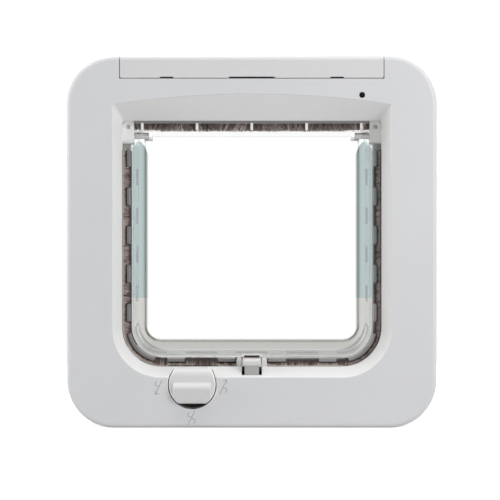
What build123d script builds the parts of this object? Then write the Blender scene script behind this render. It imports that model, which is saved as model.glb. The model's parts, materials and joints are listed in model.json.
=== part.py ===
"""Electronic cat flap for a house door: an inside unit, a tunnel through the door and an exterior frame.

X runs across the door, Z runs up it and the door's room face is the plane Y = 0. The inside unit stands
on that face towards -Y and the tunnel goes through the door towards +Y. Levels are heights above the
door's room face, counted towards the room, so the front face is at level housing_depth.
"""
import os

from build123d import *

# Clearances
fit_gap = 0.3
running_gap = 0.06
hand_gap = 0.4

# Inside unit
face_width = 210.0
face_height = 211.0
face_corner = 27.0
wall = 2.5
back_plate = 3.0
front_round = 2.5

# Battery cells set how deep the inside unit is
cell_diameter = 14.5
cell_length = 50.5
cell_nub = 1.3
cell_nub_radius = 2.75
cell_gap = 0.5
housing_depth = back_plate + 2 * cell_diameter + 3 * cell_gap + wall

# Door and exterior frame
door_thickness = 44.0
exterior_depth = 14.0
exterior_round = 5.0
exterior_mouth = 1.6
bead_width = 5.0
bead_height = 1.5
bead_round = 1.2
groove_inset = 9.0
groove_width = 1.2
groove_depth = 0.8
sleeve_wall = 2.0
sleeve_reach = 18.0

# Tunnel passage
tunnel_width = 141.0
sill_height = 38.0
head_height = 39.8
tunnel_low_radius = 18.5
tunnel_high_radius = 4.0
flange_width = 2.0
flange_thickness = 1.5

# Mouth of the inside unit
mouth_depth = 12.0
mouth_flare = 4.5
mouth_sill_flare = 5.2
mouth_brow = 8.6
mouth_arch = 5.6
mouth_high_radius = 2.0
mouth_front_radius = 27.5
mouth_edge_round = 0.3

# Brush seal
brush_channel = 4.0
brush_depth = 6.0
brush_hinge_drop = 8.0
guard_width = 1.6
guard_base = 1.0
guard_finger = 10.0
guard_first = 4.4
guard_side_fingers = 5
guard_side_spread = 0.8765
guard_sill_fingers = 4
guard_sill_spread = 0.842
guard_corner_sweep = 66.0
guard_proud = 0.4
retainer_thickness = 1.2
retainer_strip = 1.4
retainer_tab = 1.5
retainer_round = 0.7
retainer_tabs = 5
retainer_spread = 0.934

# Flap
flap_setback = 20.0
flap_side_gap = 1.1
flap_sill_gap = 1.2
flap_rim_thickness = 5.0
flap_rim_side = 8.1
flap_rim_sill = 9.2
flap_rim_bevel = 30.0
flap_edge_round = 0.6
flap_window_radius = 3.0
flap_pane = 2.2
flap_shoulder_gap = 0.5
flap_notch_depth = 1.6
flap_top_drop = 0.5
knuckle_radius = 2.9
knuckle_length = 10.2
knuckle_roof_gap = 1.6

# Hinge
pin_radius = 1.5
pin_seat = 8.0
pin_end_gap = 1.5
lug_width = 6.8
lug_radius = 2.7
lug_drop = 4.6
lug_dimple_radius = 1.3
lug_dimple_depth = 2.0
lug_dimple_rise = 5.4

# Catches
catch_width = 10.6
catch_stem_width = 8.2
catch_head = 3.8
catch_flap_gap = 1.5
catch_front_setback = 3.0
catch_round = 2.4
catch_side_round = 0.8
catch_length = 26.0
catch_guide_wall = 3.0
catch_guide_round = 1.0
catch_rib = 1.5
catch_pad_height = 1.2
catch_pad_thickness = 1.5

# Lock dial
dial_x = -33.8
dial_height = 24.5
dial_well_radius = 13.9
dial_gap = 0.6
dial_flat_high = 9.6
dial_flat_low = 10.7
dial_corner = 3.0
dial_proud = 0.4
dial_brow_round = 5.0
dial_washer = 0.8
grip_width = 21.6
grip_rise = 1.3
grip_margin = 0.5
grip_proud = 4.6
grip_fall = 2.0
grip_ledge_round = 3.4
grip_round = 0.9
dial_shaft_radius = 3.6
dial_clip_width = 1.6
dial_clip_thickness = 1.4
dial_shaft_tail = 3.0

# Battery bay
cover_gap = 0.4
cover_end_gap = 3.5
cover_height = 12.4
cover_wall = 2.2
cover_back = 6.0
cover_corner = 1.0
cover_grip = 26.0
cover_side_grip = 7.6
cover_side_grip_x = 48.4
cover_grip_depth = 0.7
tray_wall = 2.0
tray_floor = 3.0
tray_saddle = 1.6
tray_reach = 3.6
bay_half_gap = 13.4
contact_thickness = 0.6
contact_size = 8.0

# Electronics
board_width = 112.0
board_thickness = 1.6
board_drop = 6.0
board_rib = 5.0
board_rib_inset = 10.0
board_margin = 2.0
switch_size = 6.0
switch_gap = 0.1
chip_length = 12.0
button_radius = 3.0
button_flange = 1.0
button_flange_thickness = 0.7
button_travel = 0.9
button_proud = 2.0
button_round = 0.6
light_inset = 12.2
light_drop = 22.1
light_radius = 1.7
light_length = 5.0
light_boss = 1.5
light_round = 0.9
coil_width = 10.0
coil_thickness = 1.6
coil_setback = 1.0

# Latch motor
motor_length = 20.0
motor_level = 11.5
motor_radius = 6.0
gearbox_length = 26.0
gearbox_height = 14.0
gearbox_depth = 17.0
crank_arm = 2.6
crank_width = 3.0
crank_overlap = 6.0

# Fasteners
fixing_screw_inset = 9.5
fixing_screw_radius = 1.7
fixing_head_radius = 3.6
fixing_head_height = 2.4
fixing_boss_radius = 4.2
fixing_bite = 5.5
fixing_head_setback = 0.6
fixing_lead = 1.5
exterior_boss_radius = 6.0
housing_screw_inset = 17.0
housing_screw_radius = 1.4
housing_screw_bite = 9.0
housing_head_radius = 2.8
housing_head_height = 1.6
housing_head_setback = 0.2
housing_boss_radius = 4.0

# Cross recess of a screw head, as shares of the head's radius and height
recess_span = 1.2
recess_slot = 0.25
recess_depth = 0.5

# Levels that follow from the sizes above
front_wall_level = housing_depth - wall
mouth_level = housing_depth - mouth_depth
flap_level = housing_depth - flap_setback
flap_front = flap_level + flap_rim_thickness / 2
flap_back = flap_level - flap_rim_thickness / 2
shelf_level = flap_level - brush_depth / 2
brush_front = shelf_level + brush_depth
exit_back = back_plate + flange_thickness + 2 * fit_gap
exit_front = shelf_level - wall - 2 * fit_gap
exterior_face_level = -door_thickness - exterior_depth
tunnel_end = exterior_face_level + wall + hand_gap
dial_floor_level = mouth_level + wall + hand_gap

# Heights and half widths that follow from the sizes above
top = face_height / 2
tunnel_floor = -top + sill_height
tunnel_roof = top - head_height
mouth_half = tunnel_width / 2 + brush_channel
mouth_floor = tunnel_floor - brush_channel
mouth_top = tunnel_roof + brush_channel
mouth_low_radius = tunnel_low_radius + brush_channel
collar_half = mouth_half + fit_gap
collar_top = mouth_top + fit_gap
collar_floor = mouth_floor - fit_gap
hinge_z = tunnel_roof - knuckle_roof_gap - knuckle_radius
flap_half = tunnel_width / 2 - flap_side_gap
flap_bottom = tunnel_floor + flap_sill_gap
flap_shoulder = hinge_z - lug_drop - flap_shoulder_gap
flap_top = hinge_z + knuckle_radius - flap_top_drop
lug_inner = collar_half - lug_width
knuckle_end = lug_inner - hand_gap
brush_cut = hinge_z - brush_hinge_drop
side_run = brush_cut - tunnel_floor - tunnel_low_radius
guard_side_span = guard_side_spread * side_run
guard_side_z = brush_cut - guard_first - guard_side_span / 2
guard_sill_span = guard_sill_spread * (tunnel_width - 2 * tunnel_low_radius)
top_brush_length = 2 * (lug_inner - fit_gap)
catch_top = flap_bottom - fit_gap
catch_foot = catch_top - catch_length
dial_z = -top + dial_height
light_z = top - light_drop
cover_bottom = top - cover_height
cell_z = top - cover_wall - cell_gap - cell_diameter / 2
cell_rows = [back_plate + cell_gap + cell_diameter / 2 + row * (cell_diameter + cell_gap) for row in (0, 1)]
tray_top = cell_z - cell_diameter / 2 + tray_saddle
tray_bottom = tray_top - tray_saddle - tray_floor
tray_half = bay_half_gap + 2 * tray_wall + 2 * contact_thickness + cell_length
tray_front = cell_rows[1] + tray_reach
cover_width = 2 * (tray_half + cover_end_gap + cover_wall)
light_x = cover_width / 2 - light_inset
board_z = tray_bottom - board_drop
board_top = board_z + board_thickness
board_back = back_plate + board_margin
board_front = mouth_level - board_margin
button_level = (cell_rows[0] + cell_rows[1]) / 2
flange_top = tray_bottom - fit_gap
flange_bottom = flange_top - button_flange_thickness
switch_top = flange_bottom - button_travel - switch_gap
fixing_screw_x = tunnel_width / 2 + fixing_screw_inset
housing_screw_x = face_width / 2 - housing_screw_inset
housing_screw_z = top - housing_screw_inset


def level(height):
    """Plane parallel to the door at a height above its room face, facing the room."""
    return Plane.XZ.offset(height)


def passage_outline(half_width, floor, roof, low_radius, high_radius, arch=0.0):
    """Draw a passage with round lower corners, tighter upper ones and a roof that may bow upwards."""
    low_x = half_width - low_radius
    high_x = half_width - high_radius
    low_z = floor + low_radius
    high_z = roof - high_radius
    with BuildLine() as outline:
        Line((-low_x, floor), (low_x, floor))
        CenterArc((low_x, low_z), low_radius, -90, 90)
        Line((half_width, low_z), (half_width, high_z))
        CenterArc((high_x, high_z), high_radius, 0, 90)
        if arch:
            ThreePointArc((high_x, roof), (0, roof + arch), (-high_x, roof))
        else:
            Line((high_x, roof), (-high_x, roof))
        CenterArc((-high_x, high_z), high_radius, 90, 90)
        Line((-half_width, high_z), (-half_width, low_z))
        CenterArc((-low_x, low_z), low_radius, 180, 90)
    make_face(outline.edges())


def tunnel_outline(grow=0.0):
    """Draw the tunnel's passage, or its outline grown by a wall or a gap."""
    passage_outline(
        tunnel_width / 2 + grow,
        tunnel_floor - grow,
        tunnel_roof + grow,
        tunnel_low_radius + grow,
        tunnel_high_radius + grow,
    )


def mouth_outline(grow=0.0):
    """Draw the inner edge of the mouth, round the brush seal."""
    passage_outline(
        mouth_half + grow,
        mouth_floor - grow,
        mouth_top + grow,
        mouth_low_radius + grow,
        mouth_high_radius + grow,
    )


def mouth_front_outline(grow=0.0):
    """Draw the wide edge of the mouth in the front face, with its bowed brow."""
    passage_outline(
        mouth_half + mouth_flare + grow,
        mouth_floor - mouth_sill_flare - grow,
        mouth_top + mouth_brow + grow,
        mouth_front_radius + grow,
        mouth_high_radius + grow,
        mouth_arch,
    )


def flap_outline(half_width, floor, low_radius, shoulder, neck_half, neck_top):
    """Draw the flap: round lower corners, and shoulders that step in to the neck under the hinge."""
    low_x = half_width - low_radius
    low_z = floor + low_radius
    with BuildLine() as outline:
        Line((-low_x, floor), (low_x, floor))
        CenterArc((low_x, low_z), low_radius, -90, 90)
        Polyline(
            (half_width, low_z),
            (half_width, shoulder),
            (neck_half, shoulder),
            (neck_half, neck_top),
            (-neck_half, neck_top),
            (-neck_half, shoulder),
            (-half_width, shoulder),
            (-half_width, low_z),
        )
        CenterArc((-low_x, low_z), low_radius, 180, 90)
    make_face(outline.edges())


def ring_sector(centre, inner, outer, start, sweep):
    """Draw part of a ring round a centre, from a start angle through a sweep."""
    with BuildLine() as outline:
        near = CenterArc(centre, inner, start, sweep)
        far = CenterArc(centre, outer, start, sweep)
        Line(near @ 0, far @ 0)
        Line(near @ 1, far @ 1)
    make_face(outline.edges())


def round_over(front, high, radius):
    """Draw, seen from the side, what a rounding takes off the upper edge of a face at the front level."""
    with Locations((radius / 2 - front, high - radius / 2)):
        Rectangle(radius, radius)
    with Locations((radius - front, high - radius)):
        Circle(radius, mode=Mode.SUBTRACT)


def finish(builder, name):
    """Label a finished piece and write it."""
    builder.part.label = name
    export_step(builder.part, f"parts/{name}.step")


os.makedirs("parts", exist_ok=True)

# Front housing: a hollow shell whose front wall turns in to a flared mouth
with BuildPart() as front_housing:
    with BuildSketch(level(0)):
        RectangleRounded(face_width, face_height, face_corner)
    extrude(amount=housing_depth)
    fillet(front_housing.faces().sort_by(Axis.Y)[0].edges(), front_round)
    with BuildSketch(level(0)):
        RectangleRounded(face_width - 2 * wall, face_height - 2 * wall, face_corner - wall)
    extrude(amount=front_wall_level, mode=Mode.SUBTRACT)
    with BuildSketch(level(mouth_level)):
        mouth_outline(wall)
    with BuildSketch(level(front_wall_level + wall / 2)):
        mouth_front_outline(wall)
    loft(ruled=True)
    # Cup behind the lock dial's well and boss behind the status light
    with BuildSketch(level(dial_floor_level - wall)):
        with Locations((dial_x, dial_z)):
            Circle(dial_well_radius + wall)
    extrude(amount=front_wall_level + wall / 2 - dial_floor_level + wall)
    with BuildSketch(level(housing_depth - light_length)):
        with Locations((light_x, light_z)):
            Circle(light_radius + light_boss)
    extrude(amount=light_length - wall / 2)
    # The mouth, with its front edge eased
    with BuildSketch(level(mouth_level)):
        mouth_outline()
    with BuildSketch(level(housing_depth - mouth_edge_round)):
        mouth_front_outline()
    loft(ruled=True, mode=Mode.SUBTRACT)
    with BuildSketch(level(housing_depth - mouth_edge_round)):
        mouth_front_outline()
    with BuildSketch(level(housing_depth)):
        mouth_front_outline(mouth_edge_round)
    loft(ruled=True, mode=Mode.SUBTRACT)
    # Well for the lock dial, open to the mouth along its upper side
    with BuildSketch(level(dial_floor_level)):
        with Locations((dial_x, dial_z)):
            Circle(dial_well_radius)
    extrude(amount=housing_depth, mode=Mode.SUBTRACT)
    with BuildSketch(level(mouth_level)):
        with Locations((dial_x, dial_z)):
            Circle(dial_shaft_radius + running_gap)
    extrude(amount=mouth_depth, mode=Mode.SUBTRACT)
    # Slot in the sill for the entry catch, with two ribs that guide its stem
    with BuildSketch(level(mouth_level)):
        with Locations((0, mouth_floor - wall)):
            Rectangle(catch_width + 2 * hand_gap, 2 * (mouth_sill_flare + wall))
    extrude(amount=mouth_depth - catch_front_setback + hand_gap, mode=Mode.SUBTRACT)
    with BuildSketch(level(mouth_level + 2 * fit_gap)):
        rib_high = mouth_floor - mouth_sill_flare - wall
        with Locations((0, (catch_foot + rib_high) / 2)):
            with GridLocations(catch_stem_width + 2 * hand_gap + catch_rib, 0, 2, 1):
                Rectangle(catch_rib, rib_high - catch_foot)
    extrude(amount=front_wall_level + wall / 2 - mouth_level - 2 * fit_gap)
    # Opening for the battery cover
    with BuildSketch(level(cover_back - cover_gap)):
        with Locations((0, cover_bottom - cover_gap + cover_height)):
            Rectangle(cover_width + 2 * cover_gap, 2 * cover_height)
    extrude(amount=housing_depth, mode=Mode.SUBTRACT)
    with BuildSketch(level(mouth_level)):
        with Locations((light_x, light_z)):
            Circle(light_radius)
    extrude(amount=housing_depth, mode=Mode.SUBTRACT)
    # Screw bosses in the corners
    with BuildSketch(level(back_plate)):
        with GridLocations(2 * housing_screw_x, 2 * housing_screw_z, 2, 2):
            Circle(housing_boss_radius)
    extrude(amount=front_wall_level + wall / 2 - back_plate)
    with BuildSketch(level(back_plate)):
        with GridLocations(2 * housing_screw_x, 2 * housing_screw_z, 2, 2):
            Circle(housing_screw_radius)
    extrude(amount=housing_screw_bite, mode=Mode.SUBTRACT)
finish(front_housing, "front_housing")

# Back cover: closes the inside unit and bears on the door
with BuildPart() as back_cover:
    inset = wall + fit_gap
    with BuildSketch(level(0)):
        RectangleRounded(face_width - 2 * inset, face_height - 2 * inset, face_corner - inset)
    extrude(amount=back_plate)
    with BuildSketch(level(0)):
        tunnel_outline(wall + fit_gap)
    extrude(amount=back_plate, mode=Mode.SUBTRACT)
    with BuildSketch(level(back_plate)):
        with GridLocations(2 * fixing_screw_x, 0, 2, 1):
            Circle(fixing_boss_radius)
    extrude(amount=shelf_level - wall - hand_gap - back_plate)
    # Ribs that carry the circuit board
    with BuildSketch(level(back_plate)):
        with Locations((0, board_z - board_rib / 2)):
            with GridLocations(board_width - 2 * board_rib_inset, 0, 2, 1):
                Rectangle(board_rib, board_rib)
    extrude(amount=board_front - board_margin - back_plate)
    # Ribs that guide the exit catch
    with BuildSketch(level(back_plate)):
        guide_high = tunnel_floor - wall - flange_width - hand_gap
        with Locations((0, (catch_foot + guide_high) / 2)):
            with GridLocations(catch_width + 2 * hand_gap + catch_rib, 0, 2, 1):
                Rectangle(catch_rib, guide_high - catch_foot)
    extrude(amount=exit_front - back_plate)
    # Threaded holes for the fixing screws and counterbores for the housing screws
    with BuildSketch(level(0)):
        with GridLocations(2 * fixing_screw_x, 0, 2, 1):
            Circle(fixing_screw_radius)
    extrude(amount=back_plate + fixing_bite, mode=Mode.SUBTRACT)
    with BuildSketch(level(0)):
        with GridLocations(2 * fixing_screw_x, 0, 2, 1):
            Circle(fixing_screw_radius + hand_gap)
    extrude(amount=fixing_lead, mode=Mode.SUBTRACT)
    with BuildSketch(level(0)):
        with GridLocations(2 * housing_screw_x, 2 * housing_screw_z, 2, 2):
            Circle(housing_screw_radius + fit_gap)
    extrude(amount=back_plate, mode=Mode.SUBTRACT)
    with BuildSketch(level(0)):
        with GridLocations(2 * housing_screw_x, 2 * housing_screw_z, 2, 2):
            Circle(housing_head_radius + fit_gap)
    extrude(amount=housing_head_setback + housing_head_height, mode=Mode.SUBTRACT)
finish(back_cover, "back_cover")

# Tunnel: a sleeve through the door, with a collar in front that holds the brush seal and the hinge
with BuildPart() as tunnel:
    with BuildSketch(level(tunnel_end)):
        tunnel_outline(wall)
    extrude(amount=shelf_level - tunnel_end)
    with BuildSketch(level(back_plate)):
        tunnel_outline(wall + flange_width)
    extrude(amount=flange_thickness)
    with BuildSketch(level(shelf_level - wall)):
        mouth_outline(fit_gap + wall)
    extrude(amount=mouth_level - shelf_level + wall)
    with BuildSketch(level(tunnel_end)):
        tunnel_outline()
    extrude(amount=mouth_level - tunnel_end, mode=Mode.SUBTRACT)
    with BuildSketch(level(shelf_level)):
        mouth_outline(fit_gap)
    extrude(amount=mouth_level - shelf_level, mode=Mode.SUBTRACT)
    with BuildSketch(level(exit_back - fit_gap)):
        with Locations((0, tunnel_floor - wall / 2)):
            Rectangle(catch_width + 2 * hand_gap, 2 * wall)
    extrude(amount=exit_front - exit_back + 2 * fit_gap, mode=Mode.SUBTRACT)
finish(tunnel, "tunnel")

# Exterior frame: a hollow frame with a sleeve that slides over the tunnel
with BuildPart() as exterior_frame:
    with BuildSketch(level(exterior_face_level)):
        RectangleRounded(face_width, face_height, face_corner)
    extrude(amount=exterior_depth)
    fillet(exterior_frame.faces().sort_by(Axis.Y)[-1].edges(), exterior_round)
    # Raised bead round the passage
    with BuildSketch(level(exterior_face_level - bead_height)):
        tunnel_outline(exterior_mouth + bead_width)
    extrude(amount=bead_height)
    fillet(exterior_frame.faces().sort_by(Axis.Y)[-1].edges(), bead_round)
    with BuildSketch(level(exterior_face_level + wall)):
        RectangleRounded(face_width - 2 * wall, face_height - 2 * wall, face_corner - wall)
    extrude(amount=exterior_depth - wall, mode=Mode.SUBTRACT)
    with BuildSketch(level(exterior_face_level + wall / 2)):
        tunnel_outline(wall + hand_gap + sleeve_wall)
    extrude(amount=exterior_depth - wall / 2 + sleeve_reach)
    with BuildSketch(level(exterior_face_level + wall / 2)):
        with GridLocations(2 * fixing_screw_x, 0, 2, 1):
            Circle(exterior_boss_radius)
    extrude(amount=exterior_depth - wall / 2)
    with BuildSketch(level(exterior_face_level + wall)):
        tunnel_outline(wall + hand_gap)
    extrude(amount=exterior_depth - wall + sleeve_reach, mode=Mode.SUBTRACT)
    with BuildSketch(level(exterior_face_level - bead_height)):
        tunnel_outline()
    extrude(amount=bead_height + wall, mode=Mode.SUBTRACT)
    with BuildSketch(level(exterior_face_level - bead_height)):
        tunnel_outline(exterior_mouth)
    with BuildSketch(level(exterior_face_level - bead_height + exterior_mouth)):
        tunnel_outline()
    loft(ruled=True, mode=Mode.SUBTRACT)
    # Shadow groove inside the frame's edge
    with BuildSketch(level(exterior_face_level)):
        groove_end = groove_inset + groove_width
        RectangleRounded(
            face_width - 2 * groove_inset, face_height - 2 * groove_inset, face_corner - groove_inset
        )
        RectangleRounded(
            face_width - 2 * groove_end,
            face_height - 2 * groove_end,
            face_corner - groove_end,
            mode=Mode.SUBTRACT,
        )
    extrude(amount=groove_depth, mode=Mode.SUBTRACT)
    with BuildSketch(level(exterior_face_level)):
        with GridLocations(2 * fixing_screw_x, 0, 2, 1):
            Circle(fixing_screw_radius + hand_gap)
    extrude(amount=exterior_depth, mode=Mode.SUBTRACT)
    with BuildSketch(level(exterior_face_level)):
        with GridLocations(2 * fixing_screw_x, 0, 2, 1):
            Circle(fixing_head_radius + hand_gap)
    extrude(amount=fixing_head_setback + fixing_head_height, mode=Mode.SUBTRACT)
finish(exterior_frame, "exterior_frame")

# Fixing screws: long screws from the exterior frame that clamp the door
with BuildPart() as fixing_screws:
    with BuildSketch(level(exterior_face_level + fixing_head_setback)):
        with GridLocations(2 * fixing_screw_x, 0, 2, 1):
            Circle(fixing_head_radius)
    extrude(amount=fixing_head_height)
    with BuildSketch(level(exterior_face_level + fixing_head_setback)):
        with GridLocations(2 * fixing_screw_x, 0, 2, 1):
            Circle(fixing_screw_radius)
    extrude(amount=back_plate + fixing_bite - exterior_face_level - fixing_head_setback)
    with BuildSketch(level(exterior_face_level + fixing_head_setback)):
        with GridLocations(2 * fixing_screw_x, 0, 2, 1):
            Rectangle(recess_span * fixing_head_radius, recess_slot * fixing_head_radius)
            Rectangle(recess_slot * fixing_head_radius, recess_span * fixing_head_radius)
    extrude(amount=recess_depth * fixing_head_height, mode=Mode.SUBTRACT)
finish(fixing_screws, "fixing_screws")

# Housing screws: hold the back cover to the front housing
with BuildPart() as housing_screws:
    with BuildSketch(level(housing_head_setback)):
        with GridLocations(2 * housing_screw_x, 2 * housing_screw_z, 2, 2):
            Circle(housing_head_radius)
    extrude(amount=housing_head_height)
    with BuildSketch(level(housing_head_setback)):
        with GridLocations(2 * housing_screw_x, 2 * housing_screw_z, 2, 2):
            Circle(housing_screw_radius)
    extrude(amount=back_plate + housing_screw_bite - housing_head_setback)
    with BuildSketch(level(housing_head_setback)):
        with GridLocations(2 * housing_screw_x, 2 * housing_screw_z, 2, 2):
            Rectangle(recess_span * housing_head_radius, recess_slot * housing_head_radius)
            Rectangle(recess_slot * housing_head_radius, recess_span * housing_head_radius)
    extrude(amount=recess_depth * housing_head_height, mode=Mode.SUBTRACT)
finish(housing_screws, "housing_screws")

# Brush round the sides and sill, cut off below the hinge brackets
with BuildPart() as brush_surround:
    with BuildSketch(level(shelf_level)):
        mouth_outline(fit_gap)
    extrude(amount=brush_depth)
    with BuildSketch(level(shelf_level)):
        tunnel_outline(guard_width + fit_gap)
    extrude(amount=brush_depth, mode=Mode.SUBTRACT)
    with BuildSketch(level(shelf_level)):
        with Locations((0, brush_cut + face_height / 2)):
            Rectangle(face_width, face_height)
    extrude(amount=brush_depth, mode=Mode.SUBTRACT)
finish(brush_surround, "brush_surround")

# Brush guard: a strip on the tunnel's shelf with fingers that keep the pile off the flap's edge
with BuildPart() as brush_guard:
    with BuildSketch(level(shelf_level)):
        tunnel_outline(guard_width)
    extrude(amount=guard_base)
    with BuildSketch(level(shelf_level)):
        tunnel_outline()
    extrude(amount=guard_base, mode=Mode.SUBTRACT)
    with BuildSketch(level(shelf_level)):
        with Locations((0, brush_cut + face_height / 2)):
            Rectangle(face_width, face_height)
    extrude(amount=guard_base, mode=Mode.SUBTRACT)
    with BuildSketch(level(shelf_level)):
        with Locations((0, guard_side_z)):
            side_pitch = guard_side_span / (guard_side_fingers - 1)
            with GridLocations(tunnel_width + guard_width, side_pitch, 2, guard_side_fingers):
                Rectangle(guard_width, guard_finger)
        with Locations((0, tunnel_floor - guard_width / 2)):
            with GridLocations(guard_sill_span / (guard_sill_fingers - 1), 0, guard_sill_fingers, 1):
                Rectangle(guard_finger, guard_width)
        corner_x = tunnel_width / 2 - tunnel_low_radius
        corner_z = tunnel_floor + tunnel_low_radius
        for x, diagonal in ((-corner_x, 225), (corner_x, 315)):
            ring_sector(
                (x, corner_z),
                tunnel_low_radius,
                tunnel_low_radius + guard_width,
                diagonal - guard_corner_sweep / 2,
                guard_corner_sweep,
            )
    extrude(amount=brush_depth + guard_proud)
finish(brush_guard, "brush_guard")

# Brush above the flap's hinge knuckles
with BuildPart() as brush_top:
    brush_low = hinge_z + knuckle_radius + fit_gap
    with BuildSketch(level(shelf_level)):
        with Locations((0, (brush_low + collar_top) / 2)):
            Rectangle(top_brush_length, collar_top - brush_low)
    extrude(amount=brush_depth)
finish(brush_top, "brush_top")

# Brush retainer: a thin strip in front of the top brush, with tabs across the pile
with BuildPart() as brush_retainer:
    tab_pitch = retainer_spread * top_brush_length / (retainer_tabs - 1)
    with BuildSketch(level(brush_front)) as comb:
        with Locations((0, collar_top - retainer_strip / 2)):
            Rectangle(top_brush_length, retainer_strip)
        with Locations((0, (brush_low + collar_top) / 2)):
            with GridLocations(tab_pitch, 0, retainer_tabs, 1):
                Rectangle(retainer_tab, collar_top - brush_low)
        fillet(comb.vertices().group_by(Axis.Y)[0], retainer_round)
    extrude(amount=retainer_thickness)
finish(brush_retainer, "brush_retainer")

# Hinge brackets in the collar's upper corners, each a lug with an eye for the pin
with BuildPart() as hinge_bracket_right:
    with BuildSketch(Plane.YZ.offset(lug_inner)):
        foot_z = hinge_z - lug_drop + lug_radius
        with Locations((-flap_level, foot_z)):
            Circle(lug_radius)
        with Locations((-flap_level, (foot_z + collar_top) / 2)):
            Rectangle(2 * lug_radius, collar_top - foot_z)
    extrude(amount=lug_width)
    outer_corner = hinge_bracket_right.edges().filter_by(Axis.Y).group_by(Axis.Z)[-1].sort_by(Axis.X)[-1]
    fillet(outer_corner, mouth_high_radius + 2 * fit_gap)
    with BuildSketch(Plane.YZ.offset(lug_inner)):
        with Locations((-flap_level, hinge_z)):
            Circle(pin_radius + running_gap)
    extrude(amount=lug_width, mode=Mode.SUBTRACT)
    with BuildSketch(level(flap_level + lug_radius - lug_dimple_depth)):
        with Locations((lug_inner + lug_width / 2, hinge_z + lug_dimple_rise)):
            Circle(lug_dimple_radius)
    extrude(amount=lug_dimple_depth, mode=Mode.SUBTRACT)
finish(hinge_bracket_right, "hinge_bracket_right")

with BuildPart() as hinge_bracket_left:
    mirror(hinge_bracket_right.part, about=Plane.YZ)
finish(hinge_bracket_left, "hinge_bracket_left")

# Flap: a clear pane with a thick rim, made as one half in thickness and mirrored
with BuildPart() as flap:
    with BuildSketch(level(flap_level)):
        flap_outline(
            flap_half,
            flap_bottom,
            tunnel_low_radius - flap_side_gap,
            flap_shoulder,
            knuckle_end,
            hinge_z,
        )
    extrude(amount=flap_rim_thickness / 2)
    fillet(flap.faces().sort_by(Axis.Y)[0].edges(), flap_edge_round)
    with BuildSketch(level(flap_level + flap_pane / 2)):
        passage_outline(
            flap_half - flap_rim_side,
            flap_bottom + flap_rim_sill,
            hinge_z,
            tunnel_low_radius - flap_side_gap - flap_rim_side,
            flap_window_radius,
        )
    extrude(amount=(flap_rim_thickness - flap_pane) / 2, taper=-flap_rim_bevel, mode=Mode.SUBTRACT)
    mirror(about=level(flap_level))
    # Pane carried up between the two hinge knuckles
    with BuildSketch(level(flap_level - flap_pane / 2)):
        with Locations((0, (hinge_z - knuckle_radius + flap_top) / 2)):
            Rectangle(2 * knuckle_end - knuckle_length, flap_top - hinge_z + knuckle_radius)
    extrude(amount=flap_pane)
    for plane in (Plane.YZ.offset(-knuckle_end), Plane.YZ.offset(knuckle_end - knuckle_length)):
        with BuildSketch(plane):
            with Locations((-flap_level, hinge_z)):
                Circle(knuckle_radius)
        extrude(amount=knuckle_length)
    # Bores for the hinge pins
    for plane in (Plane.YZ.offset(-knuckle_end), Plane.YZ.offset(knuckle_end - pin_seat)):
        with BuildSketch(plane):
            with Locations((-flap_level, hinge_z)):
                Circle(pin_radius)
        extrude(amount=pin_seat, mode=Mode.SUBTRACT)
    # Notch that passes over the entry catch
    with BuildSketch(level(flap_back)):
        with Locations((0, flap_bottom)):
            Rectangle(catch_width + 4 * hand_gap, 2 * flap_notch_depth)
    extrude(amount=flap_rim_thickness, mode=Mode.SUBTRACT)
finish(flap, "flap")

# Hinge pins, pressed into the flap's knuckles
with BuildPart() as hinge_pin_right:
    with BuildSketch(Plane.YZ.offset(knuckle_end - pin_seat)):
        with Locations((-flap_level, hinge_z)):
            Circle(pin_radius)
    extrude(amount=lug_inner + lug_width - pin_end_gap - knuckle_end + pin_seat)
finish(hinge_pin_right, "hinge_pin_right")

with BuildPart() as hinge_pin_left:
    mirror(hinge_pin_right.part, about=Plane.YZ)
finish(hinge_pin_left, "hinge_pin_left")

# Entry catch: a broad head in the sill's slot on a narrower stem
with BuildPart() as entry_catch:
    head_back = flap_front + catch_flap_gap
    head_front = housing_depth - catch_front_setback
    with BuildSketch(level(head_back)):
        with Locations((0, catch_top - catch_head / 2)):
            Rectangle(catch_width, catch_head)
    extrude(amount=head_front - head_back)
    top_edges = entry_catch.edges().filter_by(Axis.X).group_by(Axis.Z)[-1].sort_by(Axis.Y)
    fillet(top_edges[0], catch_round)
    fillet(entry_catch.edges().filter_by(Axis.Y).group_by(Axis.Z)[-1], catch_side_round)
    stem_back = mouth_level + 3 * fit_gap
    with BuildSketch(level(stem_back)):
        with Locations((0, (catch_foot + catch_top - catch_head / 2) / 2)):
            Rectangle(catch_stem_width, catch_top - catch_head / 2 - catch_foot)
    extrude(amount=head_front - fit_gap - stem_back)
finish(entry_catch, "entry_catch")

# Soft pad on the entry catch's head, under the flap's notch
with BuildPart() as catch_pad:
    with BuildSketch(level(head_back)):
        with Locations((0, catch_top + catch_pad_height / 2)):
            Rectangle(catch_width - 2 * catch_side_round, catch_pad_height)
    extrude(amount=catch_pad_thickness)
finish(catch_pad, "catch_pad")

# Catch guide: cheeks on the collar's floor, either side of the entry catch
with BuildPart() as catch_guide:
    guide_back = brush_front + guard_proud + fit_gap
    guide_top = flap_bottom - hand_gap
    guide_inner = catch_width / 2 + hand_gap
    guide_base = catch_top - catch_head - fit_gap - collar_floor
    with BuildSketch(level(guide_back)):
        with Locations((0, collar_floor + guide_base / 2)):
            Rectangle(2 * (guide_inner + catch_guide_wall), guide_base)
        with Locations((0, (collar_floor + guide_top) / 2)):
            with GridLocations(2 * guide_inner + catch_guide_wall, 0, 2, 1):
                Rectangle(catch_guide_wall, guide_top - collar_floor)
    extrude(amount=mouth_level - fit_gap - guide_back)
    cheek_tops = catch_guide.edges().filter_by(Axis.Y).group_by(Axis.Z)[-1]
    fillet(cheek_tops, catch_guide_round)
finish(catch_guide, "catch_guide")

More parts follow.
